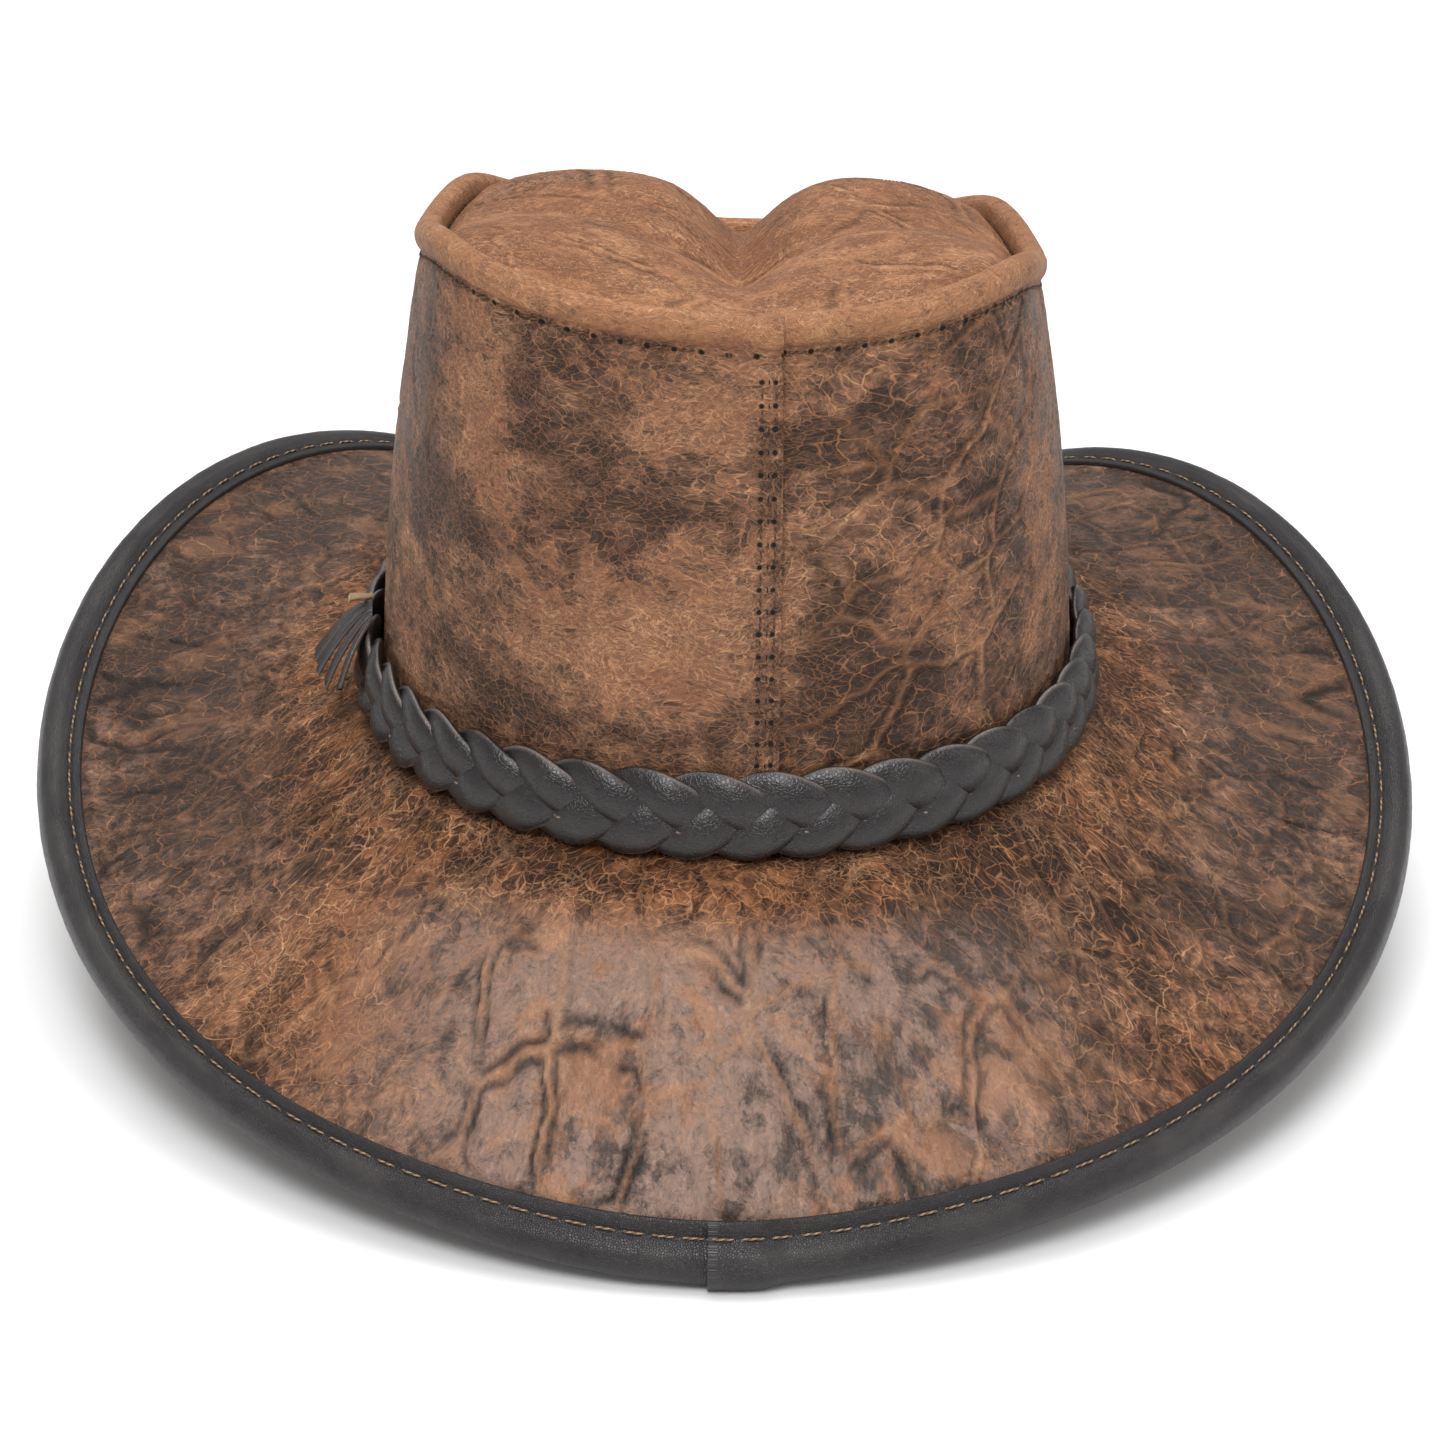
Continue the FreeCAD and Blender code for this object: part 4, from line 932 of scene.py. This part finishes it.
def brim_leathers():
    rounds = 1150
    furrow_gap, furrow_run = 17, 52
    marks, run = ring_length(lambda a: brim_top(a, 0.75), 0.0, TURN)
    angle = np.interp(np.linspace(0, run[-1], rounds, endpoint=False), run, marks)[:, None]
    side = outward(crown_base, angle)
    stand = []
    for level in np.linspace(UPSTAND, 1.5, 8):
        stand.append(wall_at_level(angle, level) - side * 1.9)
    bend = [crown_base(angle) + side * out for out in (-1.7, 0.5, 3.5)]
    across = np.concatenate([np.linspace(0.03, 0.9, 112), np.linspace(0.912, 1.0, 10)])[None, :]
    face = brim_top(angle, across)
    normal = brim_normal(angle, across)
    x, y = face[..., 0], face[..., 1]
    width = np.linalg.norm(brim_top(angle, 1.0) - brim_top(angle, 0.0), axis=-1)
    from_edge = width * (1 - across)
    degrees = np.degrees(np.broadcast_to(angle, from_edge.shape))
    near_back = np.exp(-((np.abs(np.mod(degrees + 180, 360) - 180)) / 42) ** 4) * smooth(across, 0.12, 0.42)
    near_side = smooth(np.abs(np.abs(degrees - 180) - 75), 60, 30)

    height, fold, crevice = leather_relief(x, y, 500, 12, 0.9, 5.0, 1.0, slant=20, stretch=1.2)
    big, big_fold, big_crevice = leather_relief(x, y, 540, 19, 3.0, 7.0, 0.25, slant=75, stretch=1.25)
    wrinkle = fractal(x / 1.6 + 2 * fractal(x / 9, y / 9, 600, 2), y / 4.2, 601, 3)
    edge_run = np.broadcast_to(np.interp(angle, marks, run), x.shape)
    wander = 0.25 * fractal(x / 12, y / 12, 620)
    radial, _ = cells(edge_run / furrow_gap + wander, from_edge / furrow_run, 621)
    furrow = bell(radial * furrow_gap, 1.0) * near_side * smooth(across, 0.45, 0.7)
    furrow = furrow * blotches(x, y, 16, 630, -0.3, 0.2, 3)
    height = height * (1 - near_back) * 0.7 + (big * 1.5 + 0.28 * wrinkle) * near_back - 0.7 * furrow
    fold = fold * (1 - near_back) * 0.45 + big_fold * near_back
    coarse = 0.25 + 0.75 * blotches(x, y, 24, 640, -0.6, 0.2) * smooth(across, 0.1, 0.35)
    # the shader darkens these crevices and furrows almost to black as painted shade
    crevice = np.maximum(crevice * (1 - near_back) * 0.6 + big_crevice * near_back, furrow)
    calm = smooth(from_edge, 7.0, 10.0) * smooth(across, 0.0, 0.04)
    top = face + normal * (height * calm)[..., None]

    dark = 0.45 + 0.55 * fractal(x / 30, y / 30, 51) + 1.2 * patches(x, y, BRIM_DARK)
    dark = dark + 0.4 * near_side * smooth(across, 0.2, 0.6)
    warm = 0.45 + 0.5 * fractal(x / 24, y / 24, 61)
    # the gloss also mixes pale grey-pink into the colour: painted sheen behind the crown, lighter grey-brown
    # leather on the sides
    gloss = np.maximum(near_back, 0.35 * near_side * smooth(across, 0.15, 0.5))
    start = np.stack([row[:, 0] for row in stand + bend], axis=1)
    outer = np.concatenate([start, top], axis=1)
    lead = np.zeros(start.shape[:2])

    def with_lead(values, fill=0.0):
        return np.concatenate([lead + fill, values], axis=1)

    inner_stand = [wall_at_level(angle, level) - side * 3.3 for level in np.linspace(UPSTAND, 2.0, 5)]
    inner_bend = [crown_base(angle) + side * out - BRIM_LEATHER * UP for out in (-2.9, 3.5)]
    low_across = np.linspace(0.06, 1.0, 16)[None, :]
    low = brim_top(angle, low_across) - brim_normal(angle, low_across) * BRIM_LEATHER
    inner_start = np.stack([row[:, 0] for row in inner_stand + inner_bend], axis=1)
    inner = np.concatenate([inner_start, low], axis=1)
    flat = np.concatenate([start * [1, 1, 0], points(x, y, 0.0)], axis=1)
    layers = {
        "flat": flat,
        "relief": points(with_lead(fold * calm), with_lead(coarse), with_lead(crevice * calm)),
        "tone": points(with_lead(dark, 0.5), with_lead(warm, 0.5), with_lead(gloss)),
        "seam": no_stitches(outer.shape[:2]),
    }
    shell("brim_top_leather", outer, inner, [brim_hide, flesh], layers)
    brim_under_leather(angle[::2])


def brim_under_leather(angle):
    side = outward(crown_base, angle)
    across = np.linspace(0.02, 1.0, 70)[None, :]
    depths = {}
    for label, depth in (("above", BRIM_LEATHER + STIFFENER), ("below", BRIM_DEPTH)):
        rows = [crown_base(angle) + side * out - UP * depth for out in (-3.0, 0.5, 3.5)]
        body_rows = brim_top(angle, across) - brim_normal(angle, across) * depth
        depths[label] = np.concatenate([np.stack([row[:, 0] for row in rows], axis=1), body_rows], axis=1)
    below = depths["below"]
    grain = 0.12 * fractal(below[..., 0] / 6, below[..., 1] / 6, 700)
    calm = np.ones(below.shape[:2])
    edge_rows = 14
    calm[:, -edge_rows:] = np.linspace(1, 0, edge_rows)
    below = below + surface_normals(below, True, -UP) * (grain * calm)[..., None]
    shell("brim_under_leather", below, depths["above"][:, ::4], [under_leather, flesh],
          {"flat": below * [1, 1, 0], "relief": np.zeros_like(below)})


# ------------ binding
BINDING_START = math.radians(4.0)
BINDING_END = math.radians(-361.2)
BINDING_PITCH = 6.9
LIP = -8.0
ROW = 3.3                   # stitch row in from the lip
OUTER_STEPS = 4             # rows of mesh from one point of the outer profile to the next


def binding_lift(angle):
    """Rise of the binding where its end lies over its start, for an angle that runs leftwards."""
    return 1.4 * smooth(-angle, math.radians(350.5), math.radians(355))


def whole_profile(upper, nose):
    """Profile of the binding, out and rise, from its upper half and the point of its nose."""
    return upper + [nose] + [(out, -BRIM_DEPTH - rise) for out, rise in reversed(upper)]


def binding():
    rounds = 1500
    angle = np.linspace(BINDING_START, BINDING_END, rounds)[:, None]
    lift = binding_lift(angle)
    outside = whole_profile([(LIP, 0.95), (LIP + 0.4, 1.35), (LIP + 1.8, 1.5), (LIP + ROW, 1.5),
                             (-3.2, 2.2), (-1.2, 3.1), (1.4, 3.0), (3.4, 1.6)], (4.7, -BRIM_DEPTH / 2))
    inside = whole_profile([(LIP, 0.2), (-6.4, 0.2), (-5.2, 0.3), (-3.4, 1.05), (-1.0, 1.9), (2.1, 1.2)],
                           (3.4, -BRIM_DEPTH / 2))

    def rows(profile, steps, amount):
        outs = np.array([p[0] for p in profile])
        rises = np.array([p[1] for p in profile])
        centre_out = np.clip(outs, LIP, 0.0)
        direction = unit(np.stack([outs - centre_out, rises + BRIM_DEPTH / 2], axis=-1))
        out = outs[None, :] + direction[None, :, 0] * amount
        rise = rises[None, :] + direction[None, :, 1] * amount
        return through(edge_point(angle, out, rise), steps)

    outer = rows(outside, OUTER_STEPS, lift)
    inner = rows(inside, 2, lift)
    marks, run = ring_length(brim_outline, 0.0, TURN)
    place = -np.interp(-angle, marks, run)
    turned_strip = np.cumsum(np.concatenate([[0.0], np.linalg.norm(np.diff(outer[0], axis=0), axis=1)]))
    u = np.broadcast_to(place, outer.shape[:2])
    v = np.broadcast_to(turned_strip[None, :], outer.shape[:2])
    normal = surface_normals(outer, False, UP)
    pucker = 0.10 * fractal(u / 7, v / 4, 800) + 0.05 * fractal(u / 2, v / 2, 810, 3)
    row, shoulder = 3, 5    # places in the outer profile
    seam_v = turned_strip[row * OUTER_STEPS]
    seam_line = bell(v - seam_v, 0.8)
    outer = outer + normal * (pucker - 0.3 * seam_line)[..., None]
    wear_and_highlight = 0.3 * bell(v - turned_strip[shoulder * OUTER_STEPS], 4.0)
    wear_and_highlight = wear_and_highlight * smooth(fractal(u / 18, v / 9, 820), -0.3, 0.6)
    none = np.zeros(outer.shape[:2])
    layers = {"flat": points(u, v, 0.0), "relief": points(wear_and_highlight, none, none)}
    faces_of = [binding_leather, dark_flesh]
    shell("brim_binding", outer, inner, faces_of, layers, closed=False)


def binding_stitching():
    centres, tangents, normals = [], [], []
    first = BINDING_END + TURN
    for face, sign in ((0.0, 1), (-BRIM_DEPTH, -1)):
        def line(angle):
            rise = face + sign * (1.45 + binding_lift(angle - TURN))
            return edge_point(angle, LIP + ROW, rise)

        angles = even_angles(line, BINDING_PITCH, first, first + TURN)
        centres.append(line(angles))
        tangents.append(along(line, angles))
        away = edge_point(angles, LIP + ROW, face + sign) - edge_point(angles, LIP + ROW, face)
        normals.append(unit(away))
    sew("brim_binding_stitching", np.concatenate(centres), np.concatenate(tangents),
        np.concatenate(normals), 5.4, seam_thread, radius=0.27)


# ------------ seams of the crown
def beside_rim(out, rise):
    """Ring curve beside the crown rim."""
    def line(angle):
        return crown_rim(angle) + outward(crown_rim, angle) * out + rise * UP

    return line


def crown_stitching():
    line = beside_rim(0.1, -1.2)
    angles = even_angles(line, RIM_PITCH)
    sew("crown_top_stitching", line(angles), along(line, angles),
        outward(crown_rim, angles), 5.0, rim_thread, radius=0.3)
    line = beside_rim(-5.5, 1.9)
    angles = even_angles(line, 5.0)
    sew("crown_tip_seam_stitching", line(angles), along(line, angles),
        -outward(crown_rim, angles), 3.6, rim_thread)
    for name, row_x in zip(("back_seam_stitching_left", "back_seam_stitching_right"), SEAM_ROWS):
        top = crown_rim(np.array(row_x / width_rate(1)))[2]
        levels = SEAM_FOOT + SEAM_PITCH * np.arange(int((top - 3 - SEAM_FOOT) / SEAM_PITCH))

        def line(level):
            height = level / top
            angle = row_x / width_rate(height)
            return wall_at(angle, height) + outward(crown_base, angle) * LAP_LIFT

        angles = row_x / width_rate(levels / top)
        sew(name, line(levels), along(line, levels), outward(crown_base, angles), 3.4,
            rim_thread, radius=0.24)


# ------------ inside the crown
def strip_inside(name, offset, thick, low, high, material, rows=14):
    rounds = 420
    angle = np.linspace(0, TURN, rounds, endpoint=False)[:, None]
    side = outward(crown_base, angle)
    levels = np.linspace(low, high, rows)[None, :]
    outer = wall_at_level(angle, levels) - side * offset
    inner = wall_at_level(angle, levels) - side * (offset + thick)
    marks, run = ring_length(crown_base, 0.0, TURN)
    u = np.broadcast_to(np.interp(angle, marks, run), inner.shape[:2])
    v = np.broadcast_to(levels, inner.shape[:2])
    inner = inner - side * (0.12 * fractal(u / 5, v / 5, 900))[..., None]
    wear_and_highlight = 0.5 * smooth(v, high - 3, high) * blotches(u, v, 10, 910, -0.2, 0.5)
    layers = {"flat": points(u, v, 0.0), "relief": points(wear_and_highlight, 0 * u, 0 * u)}
    return shell(name, inner, outer, [material, material], layers)


def lining():
    strip_inside("crown_base_tape", 3.4, 0.4, 0.5, 12.5, tape_weave, 6)
    strip_inside("sweatband", 4.5, 1.1, -2.0, 34.0, lining_leather, 30)
    for name, level, offset, pitch, length in (("crown_base_stitching", 7.0, 3.9, 5.0, 3.8),
                                               ("sweatband_stitching", 2.0, 5.75, 4.0, 3.2)):
        def line(angle):
            return wall_at_level(angle, level) - outward(crown_base, angle) * offset

        angles = even_angles(line, pitch)
        sew(name, line(angles), along(line, angles), -outward(crown_base, angles), length,
            seam_thread, sink=0.3)


# ------------ plaited band
def rounded(values, power):
    """Sine or cosine values pushed outwards, for a section between an ellipse and a box."""
    return np.sign(values) * np.abs(values) ** power


def strap(name, body, rings, u, v, wear_and_highlight, material):
    """One closed strap from its rings (ring, side, xyz), with the leather's own coordinates and the share of
    its edge colour: worn edges on the thongs, a painted highlight on the plait strands.
    """
    coords, faces = tubes(rings[None])
    layers = {"flat": points(u, v, 0.0).reshape(-1, 3), "relief": points(wear_and_highlight, 0 * u, 0 * u).reshape(-1, 3)}
    add_piece(name, body, [name], coords, faces, [0] * len(faces), [material], layers)


PLAIT_TURNS = 14
PLAIT_START = math.radians(-84)
PLAIT_STOP = PLAIT_START + TURN - math.radians(0.6)
PLAIT_HEIGHT = 11.2         # middle of the plait above the crown base
PLAIT_SWING = 5.0           # strand's middle either side of the plait's
PLAIT_WEAVE = 1.25          # strand's middle in and out of the plait
STRAND_HALF = 5.4
STITCH_RISE = -3.4          # row of stitches below the plait's middle


def plait_point(angle, rise, depth):
    """Point of the plait: rise from its middle line, depth out from its middle layer."""
    angle, rise, depth = np.broadcast_arrays(angle, rise, depth)
    level = PLAIT_HEIGHT + rise
    off = 4.7 - 1.8 * level / (2 * PLAIT_HEIGHT) + depth
    return wall_at_level(angle, level) + outward(crown_base, angle) * off[..., None]


def strands():
    marks, run = ring_length(lambda a: plait_point(a, 0.0, 0.0), PLAIT_START, PLAIT_STOP)
    length = run[-1]
    rounds = 56 * PLAIT_TURNS
    share = np.linspace(0, 1, rounds + 1)
    thick, sides = 2.3, 28
    section = TURN * np.arange(sides) / sides
    across = STRAND_HALF * rounded(np.cos(section), 0.55)[None, :]
    dome = thick / 2 * rounded(np.sin(section), 0.75)
    for number in range(3):
        turn = TURN * (PLAIT_TURNS * share + number / 3)[:, None]
        rise = PLAIT_SWING * np.sin(turn)
        depth = -PLAIT_WEAVE * np.sin(2 * turn)
        lean = np.arctan(PLAIT_SWING * np.cos(turn) * TURN * PLAIT_TURNS / length)
        place = share[:, None] * length - across * np.sin(lean)
        height = rise + across * np.cos(lean)
        crown = 1.3 * (1 - (across / STRAND_HALF) ** 2) * (dome[None, :] > 0)
        out = depth + dome[None, :] + crown
        slope = (run[-1] / (marks[-1] - marks[0]))
        angle = np.interp(place, run, marks) + np.where(place < 0, place, 0) / slope
        angle = angle + np.where(place > length, place - length, 0) / slope
        rings = plait_point(angle, height, out)
        u = share[:, None] * length + 0 * across
        v = across + 0 * u
        grain = 0.06 * fractal(u / 2.5, v / 2.5 + 10 * number, 950, 3)
        rings = rings + outward(crown_base, angle) * (grain * np.sign(dome)[None, :])[..., None]
        # painted highlight: the strands' top faces lighten towards their edges
        rim_light = smooth(np.abs(across) / STRAND_HALF + 0 * u, 0.9, 0.99) * (dome[None, :] > 0)
        wear_and_highlight = 0.55 * rim_light * blotches(u, v, 6, 960, -0.6, 0.3)
        strap("hat_band_strand_%d" % (number + 1), "hat", rings, u, v, wear_and_highlight, plait_leather)


def plait_stitching():
    """Machine stitches over the plait, lying on whichever strand is on top."""
    pitch, end_gap, step = 5.9, 0.05, 1e-3
    marks, run = ring_length(lambda a: plait_point(a, 0.0, 0.0), PLAIT_START, PLAIT_STOP)
    angles = even_angles(lambda a: plait_point(a, STITCH_RISE, 0.0), pitch,
                         PLAIT_START + end_gap, PLAIT_STOP - end_gap)
    out = np.full(angles.shape, -9.0)
    place = np.interp(angles, marks, run) / run[-1]
    for number in range(3):
        turn = TURN * (PLAIT_TURNS * place + number / 3)
        cover = np.abs(STITCH_RISE - PLAIT_SWING * np.sin(turn)) < 5.2
        out = np.where(cover, np.maximum(out, -PLAIT_WEAVE * np.sin(2 * turn)), out)
    centres = plait_point(angles, STITCH_RISE, out + 1.45)
    ahead, behind = (plait_point(angles + turn, STITCH_RISE, out) for turn in (step, -step))
    sew("hat_band_stitching", centres, unit(ahead - behind), outward(crown_base, angles), 5.2,
        band_thread, radius=0.32)


# ------------ tassel
TASSEL_ANGLE = math.radians(-80)
TASSEL_FOLD = (2.4, 23.4)           # fold line: off the wall's foot, and above the brim
DROOP = 1.6                         # power of the curve by which a thong hangs down
THONG_ROOT, THONG_THICK = 2.6, 1.2  # width of a thong at the fold, and its thickness
# Each thong: sideways at its root and tip, reach off the fold, drop to its tip, width at its tip.
THONGS = ((-2.9, -11.3, 15.2, 18.5, 8.0), (0.0, -2.0, 14.5, 18.0, 8.4), (2.9, 7.2, 12.1, 17.0, 7.4),
          (5.8, 14.2, 8.8, 15.0, 5.6), (-8.4, -3.0, 6.0, -2.6, 4.4))


def thongs():
    angle = np.array(TASSEL_ANGLE)
    side = outward(crown_base, angle)
    run = np.cross(UP, side)
    fold = crown_base(angle) + side * TASSEL_FOLD[0] + UP * TASSEL_FOLD[1]
    share = np.linspace(0, 1, 60)[:, None]
    sides = 32
    section = TURN * np.arange(sides) / sides
    place = rounded(np.cos(section), 0.6)
    face = rounded(np.sin(section), 0.5)
    for number, (root, sideways, reach, drop, tip_width) in enumerate(THONGS, start=1):
        teeth = np.abs(np.mod(place * 2.2 + 0.3 * number, 1.0) - 0.5) * 2
        longer = share + (0.07 * teeth[None, :] - 0.07) * share ** 8
        out = reach * longer
        down = drop * longer ** DROOP
        across = root + (sideways - root) * longer
        half = (THONG_ROOT + (tip_width - THONG_ROOT) * longer) / 2
        curl = 0.4 * np.sin(6.0 * longer + number) * longer
        middle = fold + side * out[..., None] + UP * (curl - down)[..., None]
        slope = DROOP * drop * np.maximum(longer, 1e-3) ** (DROOP - 1) / reach
        normal = unit(UP + side * slope[..., None])
        rings = (middle + run * (across + half * place[None, :])[..., None]
                 + normal * (THONG_THICK / 2 * face)[None, :, None])
        u = share * reach + 0 * place
        v = half * place
        wear_and_highlight = 0.3 * smooth(np.abs(place)[None, :] + 0 * u, 0.9, 1.0)
        slot, material = ("thong_flesh_side", pale_flesh) if number == 5 else ("band_leather", plait_leather)
        strap("tassel_thong_%d" % number, "tassel", rings, u, v + 20 * number, wear_and_highlight, material)


# ------------ hidden nodes and studio
def hidden_nodes():
    """Materials of the CAD nodes that keep their own shape inside the brim."""
    steel = on_surface("spring_wire", drawn_steel)
    fibre = on_surface("stiffener_sheet", pressed_fibre)
    for name, material in (("brim_wire", steel), ("brim_wire_ferrule", steel), ("brim_stiffener", fibre)):
        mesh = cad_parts[name].data
        mesh.materials.clear()
        mesh.materials.append(material)


def studio():
    floor_mesh = bpy.data.meshes.new("floor")
    half, low = 6.0, CAD_BOX[0].z
    corners = [(-half, -half, low), (half, -half, low), (half, half, low), (-half, half, low)]
    floor_mesh.from_pydata(corners, [], [(0, 1, 2, 3)])
    g = Graph("pale_floor")
    speck = g.noise(g.node("ShaderNodeTexCoord", {}).outputs["Object"], 40.0, 4.0)
    g.colour(g.mix(speck, paint(250, 250, 250), paint(253, 253, 253)))
    g.roughness(g.step(speck, 0.3, 0.7, 0.7, 0.8))
    floor_mesh.materials.append(g.material)
    floor = bpy.data.objects.new("floor", floor_mesh)
    bpy.context.scene.collection.objects.link(floor)

    world = bpy.data.worlds.new("studio")
    bpy.context.scene.world = world
    world.use_nodes = True
    world.node_tree.nodes["Background"].inputs["Color"].default_value = (1.0, 1.0, 1.0, 1.0)
    world.node_tree.nodes["Background"].inputs["Strength"].default_value = 0.5

    middle = Vector((0, 0, 0.03))
    for name, place, size, energy in (("overhead", (0.0, 0.35, 1.5), 1.6, 20.0),
                                      ("rear_top", (-0.15, -1.15, 1.6), 0.8, 20.0),
                                      ("right_fill", (1.5, -0.6, 0.9), 1.0, 4.0)):
        lamp = bpy.data.lights.new(name, "AREA")
        lamp.shape = "SQUARE"
        lamp.size = size
        lamp.energy = energy
        light = bpy.data.objects.new(name, lamp)
        light.location = place
        light.rotation_mode = "QUATERNION"
        light.rotation_quaternion = (middle - Vector(place)).to_track_quat("-Z", "Y")
        bpy.context.scene.collection.objects.link(light)
    bpy.context.scene.view_settings.view_transform = "Standard"


def camera():
    """Behind the hat and a little above it, looking down at the back of the crown."""
    yaw, pitch, roll = (math.radians(degrees) for degrees in (-0.27, 26.32, 0.61))
    forward = Vector((math.sin(yaw) * math.cos(pitch), math.cos(yaw) * math.cos(pitch), -math.sin(pitch)))
    level = Vector((math.cos(yaw), -math.sin(yaw), 0))
    upright = level.cross(forward)
    right = level * math.cos(roll) + upright * math.sin(roll)
    top = upright * math.cos(roll) - level * math.sin(roll)
    data = bpy.data.cameras.new("camera")
    data.lens = 105.3
    data.sensor_width = 36.0
    eye = bpy.data.objects.new("camera", data)
    eye.rotation_mode = "QUATERNION"
    eye.rotation_quaternion = Matrix((right, top, -forward)).transposed().to_quaternion()
    eye.location = Vector((3.73, -983.76, 470.68)) * MM
    bpy.context.scene.collection.objects.link(eye)
    bpy.context.scene.camera = eye


crown_wall()
crown_tip()
brim_leathers()
binding()
binding_stitching()
crown_stitching()
lining()
strands()
plait_stitching()
thongs()
hidden_nodes()
studio()
camera()
